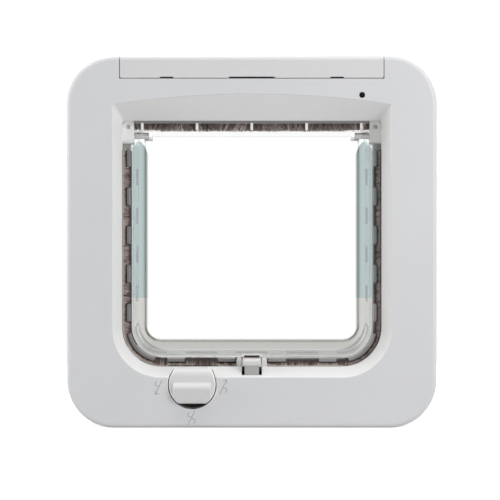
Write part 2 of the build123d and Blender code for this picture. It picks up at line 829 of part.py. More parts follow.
# Exit catch: flush with the tunnel's floor behind the flap
with BuildPart() as exit_catch:
    exit_top = tunnel_floor - hand_gap
    with BuildSketch(level(exit_back)):
        with Locations((0, (exit_top + catch_foot) / 2)):
            Rectangle(catch_width, exit_top - catch_foot)
    extrude(amount=exit_front - exit_back)
finish(exit_catch, "exit_catch")

# Latch motor: a geared motor on the back cover, with a crank under the entry catch's stem
with BuildPart() as latch_motor:
    gearbox_x = catch_width / 2 + 2 * hand_gap + catch_rib
    gearbox_z = -face_height / 2 + wall + hand_gap + gearbox_height / 2
    crank_top = catch_foot - fit_gap
    crank_reach = gearbox_x + crank_overlap
    with BuildSketch(level(back_plate)):
        with Locations((gearbox_x + gearbox_length / 2, gearbox_z)):
            RectangleRounded(gearbox_length, gearbox_height, crank_width)
    extrude(amount=gearbox_depth)
    with BuildSketch(level(back_plate + gearbox_depth - crank_width)):
        with Locations(((crank_reach - crank_width) / 2, crank_top - crank_arm / 2)):
            Rectangle(crank_reach + crank_width, crank_arm)
    extrude(amount=head_front - crank_overlap - back_plate - gearbox_depth + crank_width)
    with BuildSketch(Plane.YZ.offset(gearbox_x + gearbox_length)):
        with Locations((-motor_level, gearbox_z)):
            Circle(motor_radius)
    extrude(amount=motor_length)
finish(latch_motor, "latch_motor")

# Washer on the floor of the dial's well, cut off below the sill's slope
with BuildPart() as dial_washer_ring:
    with BuildSketch(level(dial_floor_level)):
        with Locations((dial_x, dial_z)):
            Circle(dial_well_radius - fit_gap)
            Circle(dial_shaft_radius + hand_gap, mode=Mode.SUBTRACT)
        with Locations((dial_x, mouth_floor - mouth_sill_flare / 2 + dial_well_radius)):
            Rectangle(2 * dial_well_radius, 2 * dial_well_radius, mode=Mode.SUBTRACT)
    extrude(amount=dial_washer)
finish(dial_washer_ring, "dial_washer")

# Lock dial: a flattened disc with a rounded brow above a stepped grip, and a shaft through the well's floor
with BuildPart() as lock_dial:
    disc_radius = dial_well_radius - dial_gap
    disc_back = dial_floor_level + dial_washer + fit_gap
    disc_front = housing_depth + dial_proud
    grip_top = disc_front + grip_proud
    grip_high = dial_z + grip_rise
    grip_low = dial_z - dial_flat_low + grip_margin
    grip_root = disc_front - grip_round
    shaft_end = dial_floor_level - wall - fit_gap - dial_clip_thickness - dial_shaft_tail
    with BuildSketch(level(disc_back)) as disc:
        with Locations((dial_x, dial_z)):
            Circle(disc_radius)
        with Locations((dial_x, dial_z + (dial_flat_high - dial_flat_low) / 2)):
            Rectangle(2 * disc_radius, dial_flat_high + dial_flat_low, mode=Mode.INTERSECT)
        fillet(disc.vertices().group_by(Axis.Y)[-1], dial_corner)
    extrude(amount=disc_front - disc_back)
    fillet(lock_dial.faces().sort_by(Axis.Y)[0].edges(), grip_round)
    with BuildSketch(Plane.YZ.offset(dial_x - disc_radius)):
        round_over(disc_front, dial_z + dial_flat_high, dial_brow_round)
    extrude(amount=2 * disc_radius, mode=Mode.SUBTRACT)
    # Grip: a bar with a rounded ledge on top and a front that falls back towards its foot
    with BuildPart(mode=Mode.PRIVATE) as grip:
        with BuildSketch(Plane.YZ.offset(dial_x - grip_width / 2)) as side:
            with BuildLine():
                Polyline(
                    (-grip_root, grip_high),
                    (-grip_top, grip_high),
                    (grip_fall - grip_top, grip_low),
                    (-grip_root, grip_low),
                    close=True,
                )
            make_face()
            fillet(side.vertices().sort_by(Axis.X)[0], grip_ledge_round)
        extrude(amount=grip_width)
        with BuildSketch(level(disc_back)):
            with Locations((dial_x, dial_z)):
                Circle(disc_radius - grip_margin)
        extrude(amount=grip_top, mode=Mode.INTERSECT)
        front_edges = grip.faces().filter_by(GeomType.PLANE).sort_by(Axis.Y)[0].edges()
        fillet(front_edges.sort_by(Axis.Z)[:-1], grip_round)
    add(grip.part)
    with BuildSketch(level(shaft_end)):
        with Locations((dial_x, dial_z)):
            Circle(dial_shaft_radius)
    extrude(amount=disc_back - shaft_end)
finish(lock_dial, "lock_dial")

# Clip that keeps the dial's shaft in the housing
with BuildPart() as dial_clip:
    with BuildSketch(level(dial_floor_level - wall - fit_gap - dial_clip_thickness)):
        with Locations((dial_x, dial_z)):
            Circle(dial_shaft_radius + dial_clip_width)
            Circle(dial_shaft_radius, mode=Mode.SUBTRACT)
    extrude(amount=dial_clip_thickness)
finish(dial_clip, "dial_clip")

# Battery cover: a lid over the bay, flush with the housing's top and front
with BuildPart() as battery_cover:
    with BuildSketch(level(cover_back)):
        with Locations((0, top - cover_height / 2)):
            Rectangle(cover_width, cover_height)
    extrude(amount=housing_depth - cover_back)
    fillet(battery_cover.edges().filter_by(Axis.X).group_by(Axis.Z)[-1].sort_by(Axis.Y)[0], front_round)
    fillet(battery_cover.edges().filter_by(Axis.Y).group_by(Axis.Z)[0], cover_corner)
    with BuildSketch(level(cover_back)):
        with Locations((0, cover_bottom - cover_wall)):
            Rectangle(cover_width - 2 * cover_wall, 2 * cover_height)
    extrude(amount=housing_depth - cover_back - cover_wall, mode=Mode.SUBTRACT)
    with BuildSketch(level(housing_depth - cover_wall)):
        with Locations((0, cover_bottom)):
            Rectangle(cover_grip, 2 * cover_grip_depth)
            with GridLocations(2 * cover_side_grip_x, 0, 2, 1):
                Rectangle(cover_side_grip, 2 * cover_grip_depth)
    extrude(amount=cover_wall, mode=Mode.SUBTRACT)
finish(battery_cover, "battery_cover")

# Battery tray: a saddled floor between end walls, with a gap in the middle for the memory button
with BuildPart() as battery_tray:
    with BuildSketch(level(back_plate)):
        with Locations((0, (tray_bottom + tray_top) / 2)):
            Rectangle(2 * tray_half, tray_top - tray_bottom)
    extrude(amount=tray_front - back_plate)
    with BuildSketch(level(back_plate)):
        middle_high = cell_z + contact_size / 2
        with Locations((0, (tray_bottom + middle_high) / 2)):
            with GridLocations(2 * bay_half_gap + tray_wall, 0, 2, 1):
                Rectangle(tray_wall, middle_high - tray_bottom)
    extrude(amount=tray_front - back_plate)
    with BuildSketch(level(cover_back)):
        end_high = top - cover_wall
        with Locations((0, (tray_bottom + end_high) / 2)):
            with GridLocations(2 * tray_half - tray_wall, 0, 2, 1):
                Rectangle(tray_wall, end_high - tray_bottom)
    extrude(amount=tray_front - cover_back)
    saddle_x = bay_half_gap + tray_wall
    for start in (saddle_x, -saddle_x - cell_length - 2 * contact_thickness):
        with BuildSketch(Plane.YZ.offset(start)):
            with Locations(*[(-row, cell_z) for row in cell_rows]):
                Circle(cell_diameter / 2 + fit_gap)
        extrude(amount=cell_length + 2 * contact_thickness, mode=Mode.SUBTRACT)
    with BuildSketch(Plane.XY.offset(tray_bottom)):
        with Locations((0, -button_level)):
            Circle(button_radius + fit_gap)
    extrude(amount=tray_top - tray_bottom, mode=Mode.SUBTRACT)
finish(battery_tray, "battery_tray")

# Battery cells: two rows on each side, laid in turn nub first and nub last
cell_start = bay_half_gap + tray_wall + contact_thickness
cell_number = 0
for start in (-cell_start - cell_length, cell_start):
    for row, nub_first in zip(cell_rows, (True, False)):
        cell_number += 1
        body_start = start + cell_nub if nub_first else start
        nub_start = start if nub_first else start + cell_length - cell_nub
        with BuildPart() as battery_cell:
            with BuildSketch(Plane.YZ.offset(body_start)):
                with Locations((-row, cell_z)):
                    Circle(cell_diameter / 2)
            extrude(amount=cell_length - cell_nub)
            with BuildSketch(Plane.YZ.offset(nub_start)):
                with Locations((-row, cell_z)):
                    Circle(cell_nub_radius)
            extrude(amount=cell_nub)
        finish(battery_cell, f"battery_cell_{cell_number}")

# Battery contacts: a plate at each end of each cell
with BuildPart() as battery_contacts:
    for start in (bay_half_gap + tray_wall, tray_half - tray_wall - contact_thickness):
        with BuildSketch(Plane.YZ.offset(start)):
            with Locations(*[(-row, cell_z) for row in cell_rows]):
                Rectangle(contact_size, contact_size)
        extrude(amount=contact_thickness)
    mirror(about=Plane.YZ)
finish(battery_contacts, "battery_contacts")

# Circuit board below the tray, with the switch under the memory button and the larger components
with BuildPart() as circuit_board:
    with BuildSketch(Plane.XY.offset(board_z)):
        with Locations((0, -(board_back + board_front) / 2)):
            Rectangle(board_width, board_front - board_back)
    extrude(amount=board_thickness)
    with BuildSketch(Plane.XY.offset(board_top)):
        with Locations((0, -button_level)):
            Rectangle(switch_size, switch_size)
    extrude(amount=switch_top - board_top)
    with BuildSketch(Plane.XY.offset(board_top)):
        with Locations((0, -(board_back + board_front) / 2)):
            with GridLocations(board_width / 2, 0, 2, 1):
                Rectangle(chip_length, switch_size)
    extrude(amount=board_thickness)
finish(circuit_board, "circuit_board")

# Memory button, trapped under the tray's floor
with BuildPart() as memory_button:
    with BuildSketch(Plane.XY.offset(flange_bottom)):
        with Locations((0, -button_level)):
            Circle(button_radius + button_flange)
    extrude(amount=button_flange_thickness)
    with BuildSketch(Plane.XY.offset(flange_bottom)):
        with Locations((0, -button_level)):
            Circle(button_radius)
    extrude(amount=tray_top + button_proud - flange_bottom)
    fillet(memory_button.faces().sort_by(Axis.Z)[-1].edges(), button_round)
finish(memory_button, "memory_button")

# Status light: a lens in the front wall with a flange behind its boss
with BuildPart() as status_light:
    lens_radius = light_radius - running_gap
    flange_back = housing_depth - light_length - flange_thickness
    with BuildSketch(level(flange_back)):
        with Locations((light_x, light_z)):
            Circle(light_radius + light_boss / 2)
    extrude(amount=flange_thickness)
    with BuildSketch(level(flange_back)):
        with Locations((light_x, light_z)):
            Circle(lens_radius)
    extrude(amount=housing_depth - fit_gap - flange_back)
    fillet(status_light.faces().sort_by(Axis.Y)[0].edges(), light_round)
finish(status_light, "status_light")

# Antenna coil wound round the tunnel's collar
with BuildPart() as antenna_coil:
    coil_back = shelf_level - wall + coil_setback
    with BuildSketch(level(coil_back)):
        mouth_outline(fit_gap + wall + running_gap + coil_thickness)
    extrude(amount=coil_width)
    with BuildSketch(level(coil_back)):
        mouth_outline(fit_gap + wall + running_gap)
    extrude(amount=coil_width, mode=Mode.SUBTRACT)
finish(antenna_coil, "antenna_coil")
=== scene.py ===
"""Looks of the cat flap: pile in the brush seal, marks round the lock dial, finishes, light and camera."""
import json
import math

import bpy
import numpy as np
from mathutils import Matrix, Vector


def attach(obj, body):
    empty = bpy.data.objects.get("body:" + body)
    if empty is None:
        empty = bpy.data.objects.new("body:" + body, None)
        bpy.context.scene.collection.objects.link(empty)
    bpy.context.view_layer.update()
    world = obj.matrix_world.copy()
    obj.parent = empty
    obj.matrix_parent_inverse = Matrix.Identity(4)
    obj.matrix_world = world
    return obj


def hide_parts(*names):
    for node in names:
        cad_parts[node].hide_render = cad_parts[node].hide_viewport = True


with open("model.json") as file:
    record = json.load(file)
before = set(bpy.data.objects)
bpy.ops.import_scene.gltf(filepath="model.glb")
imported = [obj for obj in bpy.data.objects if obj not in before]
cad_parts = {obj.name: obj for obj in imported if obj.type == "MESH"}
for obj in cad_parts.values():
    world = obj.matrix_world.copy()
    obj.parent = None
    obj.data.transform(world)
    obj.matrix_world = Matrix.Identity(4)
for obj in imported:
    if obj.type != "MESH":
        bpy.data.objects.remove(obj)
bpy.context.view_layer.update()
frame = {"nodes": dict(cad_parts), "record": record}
nodes = frame["nodes"]
MM = 0.001
rng = np.random.default_rng(20)

# Places on the part that the new pieces and finishes follow, in millimetres
FACE_LEVEL = 36.0
FACE_SKIN = 0.25
MOUTH_MIDDLE_Z = 3.0
MOUTH_REACH = 82.0
LOW_CENTRE_X = 52.0
LOW_CENTRE_Z = -49.0
BRUSH_WALL_RADIUS = 22.8
BRUSH_TOP_Z = 53.2
BRUSH_LEVEL = 16.0
RETAINER_STRIP_Z = 68.6
COLLAR_TOP_Z = 70.0
TUNNEL_HALF_WIDTH = 70.5
TUNNEL_FLOOR_Z = -67.5
TUNNEL_ROOF_Z = 58.0
TUNNEL_FRONT_LEVEL = 1.5
TUNNEL_SKIN = 0.3
SILL_Z = -60.0
CATCH_STEM_Z = -70.2
CELL_MIDDLE_X = 41.25
JACKET_HALF_LENGTH = 22.6
FLOOR_Z = -105.5

# The flap's rim: its edge, its film, and the bands that are laid out over BAND_WIDTH from the edge
FLAP_CENTRE_Z = -48.9
FLAP_LOW_RADIUS = 17.4
FLAP_RIM = 8.1
FLAP_LEVEL = 16.0
FILM_LOW_Z = -32.6
FILM_HIGH_Z = 58.0
FILM_ARCH = 4.5
BAND_WIDTH = 12.0
SILL_TURN = 12.0
SILL_RIM_EXTRA = 1.1
SILL_EXTRA_FROM = 4.5
SILL_EXTRA_OVER = 3.0
DASH_FROM_EDGE = 3.0
DASH_NEARER_ON_SILL = 0.7
DASH_HALF_WIDTH = 0.55
DASH_STEEP = 8.0
DASH_CORE = 1.6
DASH_SIDE_LEAST = 0.17
DASH_SILL_LEAST = -0.45
STEP_MIDDLE = 0.641
STEP_REACH = 0.037
STEP_SOFTENING = 0.9

# The lock dial, its well in the housing and the washer under it
DIAL_X = -33.8
DIAL_Z = -81.0
DIAL_WELL_RADIUS = 13.9
DIAL_GAP = 0.6
DIAL_WALL_REACH = 0.2
DIAL_LIP = 0.5
WASHER_DARK_Z = -91.5

# The guard's fingers, which stand in front of the pile
GUARD_MIDDLE_Z = 4.0
GUARD_SIDE_PITCH = 22.4
GUARD_SILL_PITCH = 29.2
GUARD_SIDE_MIDDLES = [GUARD_MIDDLE_Z + GUARD_SIDE_PITCH * step for step in (-2, -1, 0, 1, 2)]
GUARD_SILL_MIDDLES = [GUARD_SILL_PITCH * step for step in (-1.5, -0.5, 0.5, 1.5)]
GUARD_HALF_FINGER = 5.6
GUARD_CORNER_HALF_SWEEP = 34.0
GUARD_FADE = 15.0

# The pile: rows as (first, last, number) of their depth, lengths and widths as (least, most)
SURROUND_ROWS = (14.5, 18.7, 8)
TOP_ROWS = (13.5, 18.7, 9)
TOP_HALF_WIDTH = 67.4
TOP_ROOT_Z = 69.8
RUN_MARGIN = 0.4
FIBRE_ROOT_RADIUS = 0.036
FIBRE_TIP_RADIUS = 0.022
FIBRE_BEND = 0.55
FIBRE_BOW = 0.10
FIBRE_SPACING = 0.42
ALONG_JITTER = 0.15
ROW_JITTER = 0.2
ROOT_LIFT = 0.3
FIBRE_WIDTHS = (3.4, 5.2)
COVERED_LENGTHS = (1.9, 2.25)
FREE_LENGTHS = (4.3, 5.1)
TOP_LENGTHS = (5.7, 6.0)
SHORTER_RIGHT = 1.3
OVER_KNUCKLE = 0.55
NEAR_KNUCKLE_X = 54.0
SURROUND_LEAN = 0.12
TOP_LEAN = 0.13
TOP_SWEEP = 0.55
TOP_SWEEP_PERIOD = 6.5
BACKING_INSET = 0.35
BACKING_SIZE = (0.5, 5.6, 1.0)
TOP_BACKING_SIZE = (135.2, 5.8, 0.5)
TOP_BACKING_Z = 69.65

# Shades of the pile, from 0 for the darkest to 1 for the palest; shadings as (at root, at tip). The change
# from root to tip, the darker sill, the lighter covered fibres and the pale backing are painted light and
# shade.
SHADE_RANGE = (0.1, 1.0)
CLUMP_SIZE = 1.3
CLUMP_SHARE = 0.65
SHADE_CONTRAST = 1.7
SILL_PAINTED_SHADE = 0.38
COVERED_PAINTED_LIGHT = 3.5
SURROUND_PAINTED_SHADING = (5.0, 0.25)
TOP_PAINTED_SHADING = (0.85, 1.35)
BACKING_DARK = 0.12
# Painted light on the backing of the side and sill brush
BACKING_PAINTED_LIGHT = 1.0
BACKING_FADE = 1.0
BACKING_DARK_REACH = 14.0

# Moulded plastic: cloud and speck sizes, grain, and what wear does to colour and gloss
CLOUD_SCALE = 16.0
SPECK_SCALE = 900.0
SPECK_SHARE = 0.35
GLOSS_CLOUDING = 0.16
SKIN_SPREAD = 0.05
GRAIN_SCALE = 1500.0
GRAIN_STRENGTH = 0.10
GRAIN_DEPTH = 0.0002
WORN_SHADE = 0.86
WORN_SHARE = 0.35
WORN_ROUGHNESS = 0.2
CLEAR_IOR = 1.49

# How steeply one colour turns into the next, per metre
CRISP = 4000.0
FILM_STEEP = 2500.0
SOFT = 400.0
WASHER_STEEP = 800.0
JACKET_STEEP = 8000.0

# How far the tunnel's band of painted shade fades on the floor and the right wall, how dull it is, the
# roof's polish
TUNNEL_FLOOR_FADE = 0.6
TUNNEL_WALL_FADE = 0.65
SHADE_BAND_ROUGHNESS = 0.6
ROOF_POLISH = 0.32

# Colours
HOUSING = (0.685, 0.690, 0.706)
# Painted light that makes the slopes of the mouth lighter than the face
SLOPE_PAINTED_LIGHT = (1.17, 1.16, 1.13)
# Painted light in the fine gap round the dial, on its walls and on the washer
GAP_PAINTED_LIGHT = (0.95, 0.94, 0.92)
# Painted highlight on the lips round the dial
LIP_PAINTED_HIGHLIGHT = (0.84, 0.835, 0.825)
GUARD_GREY = (0.20, 0.19, 0.195)
GUARD_RIGHT_HIGH = (0.27, 0.32, 0.33)
GUARD_RIGHT_LOW = (0.41, 0.385, 0.38)
GUARD_RIGHT_SILL = (0.29, 0.28, 0.285)
CATCH_WHITE = (0.64, 0.635, 0.615)
# Painted shade on the catch's stem under its head
STEM_PAINTED_SHADE = (0.41, 0.41, 0.405)
COMB_WHITE = (0.93, 0.93, 0.92)
# Painted shadow on the comb's strip: dark at the pile's roots, fading to grey higher up
STRIP_PAINTED_SHADOW = (0.075, 0.065, 0.065)
STRIP_SHADOW_FADE = (0.42, 0.42, 0.43)
TUNNEL_WHITE = (0.72, 0.72, 0.70)
TUNNEL_WORN = (0.6, 0.6, 0.59)
# Painted light under the tunnel's roof
ROOF_PAINTED_LIGHT = (0.96, 0.96, 0.955)
# Painted shade along the tunnel's front edge
FRONT_PAINTED_SHADE = (0.075, 0.060, 0.056)
PILE_STOPS = [(0.0, (0.05, 0.034, 0.030)), (0.5, (0.22, 0.165, 0.15)), (1.0, (0.72, 0.62, 0.57))]
WINDOW = (1.0, 1.0, 1.0)
# Painted reflection of the gaps between the guard's fingers
DASH_PAINTED_REFLECTION = (0.27, 0.31, 0.32)
DASH_SHARE = 0.42
# The film's aqua is its own tint; its darker stops at the edge and round the step are painted shade
FILM_STOPS = [
    (0.00, (0.28, 0.32, 0.32)),
    (0.05, (0.45, 0.54, 0.55)),
    (0.10, (0.78, 0.91, 0.93)),
    (0.31, (0.76, 0.89, 0.90)),
    (0.36, (0.47, 0.56, 0.56)),
    (0.53, (0.43, 0.515, 0.505)),
    (0.60, (0.31, 0.370, 0.365)),
    (0.64, (0.29, 0.345, 0.340)),
    (0.69, (0.275, 0.320, 0.315)),
    (0.74, (0.47, 0.530, 0.520)),
    (0.79, WINDOW),
]
# Tones of the rim without film: painted shade of the tunnel's walls and floor seen through the clear rim,
# darker on the sill and darkest at the step
PLAIN_SIDE = {
    "outer": (1.00, 1.00, 0.99),
    "middle": (0.62, 0.62, 0.60),
    "inner": (0.58, 0.575, 0.54),
    "step": (0.43, 0.43, 0.405),
    "lip": (0.36, 0.36, 0.345),
}
PLAIN_SILL = {
    "outer": (0.70, 0.70, 0.69),
    "middle": (0.52, 0.52, 0.50),
    "inner": (0.49, 0.48, 0.45),
    "step": (0.33, 0.33, 0.315),
    "lip": (0.42, 0.42, 0.41),
}
# Normals that face the room and the door, coded as a normal map's colours
FACING_ROOM = (0.5, 0.0, 0.5)
FACING_DOOR = (0.5, 1.0, 0.5)


def start_clean():
    """Leave edit mode with nothing selected."""
    if bpy.context.object and bpy.context.object.mode != "OBJECT":
        bpy.ops.object.mode_set(mode="OBJECT")
    bpy.ops.object.select_all(action="DESELECT")


def pick_only(obj):
    """Make an object the only selected and active one."""
    start_clean()
    obj.select_set(True)
    bpy.context.view_layer.objects.active = obj


def settle(obj):
    """Put an object's place, turn and size into its mesh."""
    pick_only(obj)
    bpy.ops.object.transform_apply(location=True, rotation=True, scale=True)
    return obj


def new_socket(group, name, kind, way):
    """Add a named socket to a node group."""
    return group.interface.new_socket(name=name, in_out=way, socket_type=kind)


def math_node(tree, operation, first, second=None, clamp=False):
    """Add a math node fed by sockets or numbers and return its output."""
    node = tree.nodes.new("ShaderNodeMath")
    node.operation = operation
    node.use_clamp = clamp
    for place, value in enumerate((first, second)):
        if value is None:
            continue
        if isinstance(value, (int, float)):
            node.inputs[place].default_value = value
        else:
            tree.links.new(value, node.inputs[place])
    return node.outputs[0]


def ramp_past(tree, value, level, steepness):
    """0 up to a level, then rising steeply to 1; with value and level swapped it rises below the level."""
    return math_node(tree, "MULTIPLY", math_node(tree, "SUBTRACT", value, level), steepness, True)


def near(tree, value, middle, reach):
    """Mask of the values that lie within reach of a middle one."""
    off = math_node(tree, "ABSOLUTE", math_node(tree, "SUBTRACT", value, middle))
    return math_node(tree, "LESS_THAN", off, reach)


def product(tree, first, *others):
    """Multiply masks or values, each a socket or a number."""
    for other in others:
        first = math_node(tree, "MULTIPLY", first, other)
    return first


def hypotenuse(tree, first, second):
    """Distance given by two legs at right angles."""
    squares = [math_node(tree, "MULTIPLY", leg, leg) for leg in (first, second)]
    return math_node(tree, "SQRT", math_node(tree, "ADD", *squares))


def noise_node(tree, vector, scale, detail=2.0):
    """Add a noise texture and return its value."""
    node = tree.nodes.new("ShaderNodeTexNoise")
    if isinstance(scale, (int, float)):
        node.inputs["Scale"].default_value = scale
    else:
        tree.links.new(scale, node.inputs["Scale"])
    node.inputs["Detail"].default_value = detail
    node.inputs["Roughness"].default_value = 0.5
    tree.links.new(vector, node.inputs["Vector"])
    return node.outputs["Fac"]


def ramp_node(tree, value, stops):
    """Add a colour ramp with the given (position, colour) stops and return its colour."""
    node = tree.nodes.new("ShaderNodeValToRGB")
    ramp = node.color_ramp
    while len(ramp.elements) < len(stops):
        ramp.elements.new(0.5)
    for element, (position, colour) in zip(ramp.elements, stops):
        element.position = position
        element.color = (*colour, 1.0)
    tree.links.new(value, node.inputs["Fac"])
    return node.outputs["Color"]


def mix_node(tree, share, first, second, blend="MIX"):
    """Mix two colours by a share and return the result."""
    node = tree.nodes.new("ShaderNodeMix")
    node.data_type = "RGBA"
    node.blend_type = blend
    for name, value in (("Factor", share), ("A", first), ("B", second)):
        socket = next(s for s in node.inputs if s.name == name and s.enabled)
        if isinstance(value, (int, float)):
            socket.default_value = value
        elif isinstance(value, tuple):
            socket.default_value = (*value, 1.0)
        else:
            tree.links.new(value, socket)
    return next(s for s in node.outputs if s.enabled)


def object_place(tree):
    """Object coordinates of the shaded point."""
    return tree.nodes.new("ShaderNodeTexCoord").outputs["Object"]


def place_axes(tree):
    """Object coordinates of the shaded point, by axis."""
    split = tree.nodes.new("ShaderNodeSeparateXYZ")
    tree.links.new(object_place(tree), split.inputs[0])
    return split.outputs


def stretched_place(tree, scale, turn=(0.0, 0.0, 0.0)):
    """Object coordinates of the shaded point, turned and stretched by axis."""
    mapping = tree.nodes.new("ShaderNodeMapping")
    mapping.inputs["Rotation"].default_value = turn
    mapping.inputs["Scale"].default_value = scale
    tree.links.new(object_place(tree), mapping.inputs["Vector"])
    return mapping.outputs[0]


def make_moulded_skin():
    """Node group for a moulded surface: clouded colour, fine spark grain and uneven gloss."""
    group = bpy.data.node_groups.new("moulded_skin", "ShaderNodeTree")
    new_socket(group, "Colour", "NodeSocketColor", "INPUT")
    new_socket(group, "Spread", "NodeSocketFloat", "INPUT")
    new_socket(group, "Grain", "NodeSocketFloat", "INPUT")
    new_socket(group, "Gloss", "NodeSocketFloat", "INPUT")
    new_socket(group, "Colour", "NodeSocketColor", "OUTPUT")
    new_socket(group, "Roughness", "NodeSocketFloat", "OUTPUT")
    new_socket(group, "Height", "NodeSocketFloat", "OUTPUT")
    given = group.nodes.new("NodeGroupInput")
    result = group.nodes.new("NodeGroupOutput")
    place = object_place(group)
    cloud = math_node(group, "SUBTRACT", noise_node(group, place, CLOUD_SCALE, 3.0), 0.5)
    speck = math_node(group, "SUBTRACT", noise_node(group, place, SPECK_SCALE), 0.5)
    uneven = math_node(group, "ADD", cloud, product(group, speck, SPECK_SHARE))
    shade = math_node(group, "ADD", product(group, uneven, given.outputs["Spread"]), 1.0)
    grey = group.nodes.new("ShaderNodeCombineColor")
    for channel in grey.inputs[:3]:
        group.links.new(shade, channel)
    tinted = mix_node(group, 1.0, given.outputs["Colour"], grey.outputs[0], "MULTIPLY")
    group.links.new(tinted, result.inputs["Colour"])
    clouding = product(group, cloud, GLOSS_CLOUDING)
    rough = math_node(group, "ADD", given.outputs["Gloss"], clouding, clamp=True)
    group.links.new(rough, result.inputs["Roughness"])
    group.links.new(noise_node(group, place, given.outputs["Grain"]), result.inputs["Height"])
    return group


def make_handling_marks():
    """Node group for the faint scuffs that handling leaves: short fine scratches in clouds."""
    group = bpy.data.node_groups.new("handling_marks", "ShaderNodeTree")
    new_socket(group, "Amount", "NodeSocketFloat", "INPUT")
    new_socket(group, "Mask", "NodeSocketFloat", "OUTPUT")
    given = group.nodes.new("NodeGroupInput")
    result = group.nodes.new("NodeGroupOutput")
    drawn_out = stretched_place(group, (40.0, 900.0, 900.0), (0.3, 0.5, 0.4))
    scratch = ramp_past(group, noise_node(group, drawn_out, 1.0), 0.66, 8.0)
    patch = ramp_past(group, noise_node(group, object_place(group), 30.0), 0.5, 5.0)
    group.links.new(product(group, scratch, patch, given.outputs["Amount"]), result.inputs["Mask"])
    return group


MOULDED_SKIN = make_moulded_skin()
HANDLING_MARKS = make_handling_marks()


def blank_finish(name):
    """New material with a Principled shader; returns the material, its tree and the shader."""
    material = bpy.data.materials.new(name)
    material.use_nodes = True
    tree = material.node_tree
    return material, tree, tree.nodes["Principled BSDF"]


def open_finish(material):
    """Tree of a finish that gets more zones, its base colour's socket and source, and the axes."""
    tree = material.node_tree
    base = tree.nodes["Principled BSDF"].inputs["Base Color"]
    return tree, base, base.links[0].from_socket, place_axes(tree)


def place_group(tree, group, **values):
    """Place a node group in a material with its own values."""
    node = tree.nodes.new("ShaderNodeGroup")
    node.node_tree = group
    for name, value in values.items():
        node.inputs[name].default_value = value
    return node


def bump_from(tree, shader, height, strength, distance):
    """Feed a height to the shader's normal through a Bump node."""
    bump = tree.nodes.new("ShaderNodeBump")
    bump.inputs["Strength"].default_value = strength
    bump.inputs["Distance"].default_value = distance
    tree.links.new(height, bump.inputs["Height"])
    tree.links.new(bump.outputs["Normal"], shader.inputs["Normal"])


def lay_skin(tree, shader, colour, gloss, spread=SKIN_SPREAD):
    """Give a shader the moulded skin's grain and return the skin's colour and roughness."""
    skin = place_group(
        tree, MOULDED_SKIN, Colour=(*colour, 1.0), Spread=spread, Grain=GRAIN_SCALE, Gloss=gloss
    )
    bump_from(tree, shader, skin.outputs["Height"], GRAIN_STRENGTH, GRAIN_DEPTH)
    return skin.outputs["Colour"], skin.outputs["Roughness"]


def moulded_plastic(name, colour, gloss=0.42, scuffs=0.5, shine=0.5):
    """A moulded plastic with spark grain, clouded colour and faint scuffs."""
    material, tree, shader = blank_finish(name)
    shader.inputs["Specular IOR Level"].default_value = shine
    skin, rough = lay_skin(tree, shader, colour, gloss)
    marks = place_group(tree, HANDLING_MARKS, Amount=scuffs).outputs["Mask"]
    worn = tuple(WORN_SHADE * channel for channel in colour)
    coloured = mix_node(tree, product(tree, marks, WORN_SHARE), skin, worn)
    tree.links.new(coloured, shader.inputs["Base Color"])
    rough = math_node(tree, "ADD", rough, product(tree, marks, WORN_ROUGHNESS))
    tree.links.new(rough, shader.inputs["Roughness"])
    return material


def dial_ring(tree, axes, radius, reach=DIAL_WALL_REACH):
    """Mask of what lies at a radius round the lock dial's axis, above the dark part of its washer."""
    away = hypotenuse(
        tree,
        math_node(tree, "SUBTRACT", axes["X"], DIAL_X * MM),
        math_node(tree, "SUBTRACT", axes["Z"], DIAL_Z * MM),
    )
    above_dark = math_node(tree, "GREATER_THAN", axes["Z"], WASHER_DARK_Z * MM)
    return product(tree, near(tree, away, radius * MM, reach * MM), above_dark)


def housing_painted_light():
    """The housing's plastic, with painted light on the slopes of the mouth and round the dial: a painted
    highlight on the dial's lip and painted light on the wall of its well.
    """
    material = moulded_plastic("housing_plastic", HOUSING)
    tree, base, face, axes = open_finish(material)
    behind_face = math_node(tree, "GREATER_THAN", axes["Y"], (FACE_SKIN - FACE_LEVEL) * MM)
    across = near(tree, axes["X"], 0.0, MOUTH_REACH * MM)
    upright = near(tree, axes["Z"], MOUTH_MIDDLE_Z * MM, MOUTH_REACH * MM)
    # Painted light: the slopes of the mouth are made lighter than the face
    painted_lighter = mix_node(tree, 1.0, face, SLOPE_PAINTED_LIGHT, "MULTIPLY")
    painted_face = mix_node(tree, product(tree, behind_face, across, upright), face, painted_lighter)
    # Painted highlight on the housing's lip round the dial
    lip = dial_ring(tree, axes, DIAL_WELL_RADIUS + DIAL_LIP / 2, DIAL_LIP / 2)
    painted_face = mix_node(tree, lip, painted_face, LIP_PAINTED_HIGHLIGHT)
    # Painted light on the wall of the dial's well, in the fine gap
    well_wall = product(tree, behind_face, dial_ring(tree, axes, DIAL_WELL_RADIUS))
    tree.links.new(mix_node(tree, well_wall, painted_face, GAP_PAINTED_LIGHT), base)
    return material


def dial_finish():
    """The lock dial's plastic, with a painted highlight on its lip and painted light on the wall that faces
    the fine gap round it.
    """
    material = moulded_plastic("dial_plastic", (0.69, 0.69, 0.69), gloss=0.36)
    tree, base, front, axes = open_finish(material)
    disc_radius = DIAL_WELL_RADIUS - DIAL_GAP
    # Painted highlight on the dial's lip
    lip = dial_ring(tree, axes, disc_radius - DIAL_LIP / 2, DIAL_LIP / 2)
    front = mix_node(tree, lip, front, LIP_PAINTED_HIGHLIGHT)
    # Painted light on the dial's wall in the fine gap
    disc_wall = dial_ring(tree, axes, disc_radius)
    tree.links.new(mix_node(tree, disc_wall, front, GAP_PAINTED_LIGHT), base)
    return material


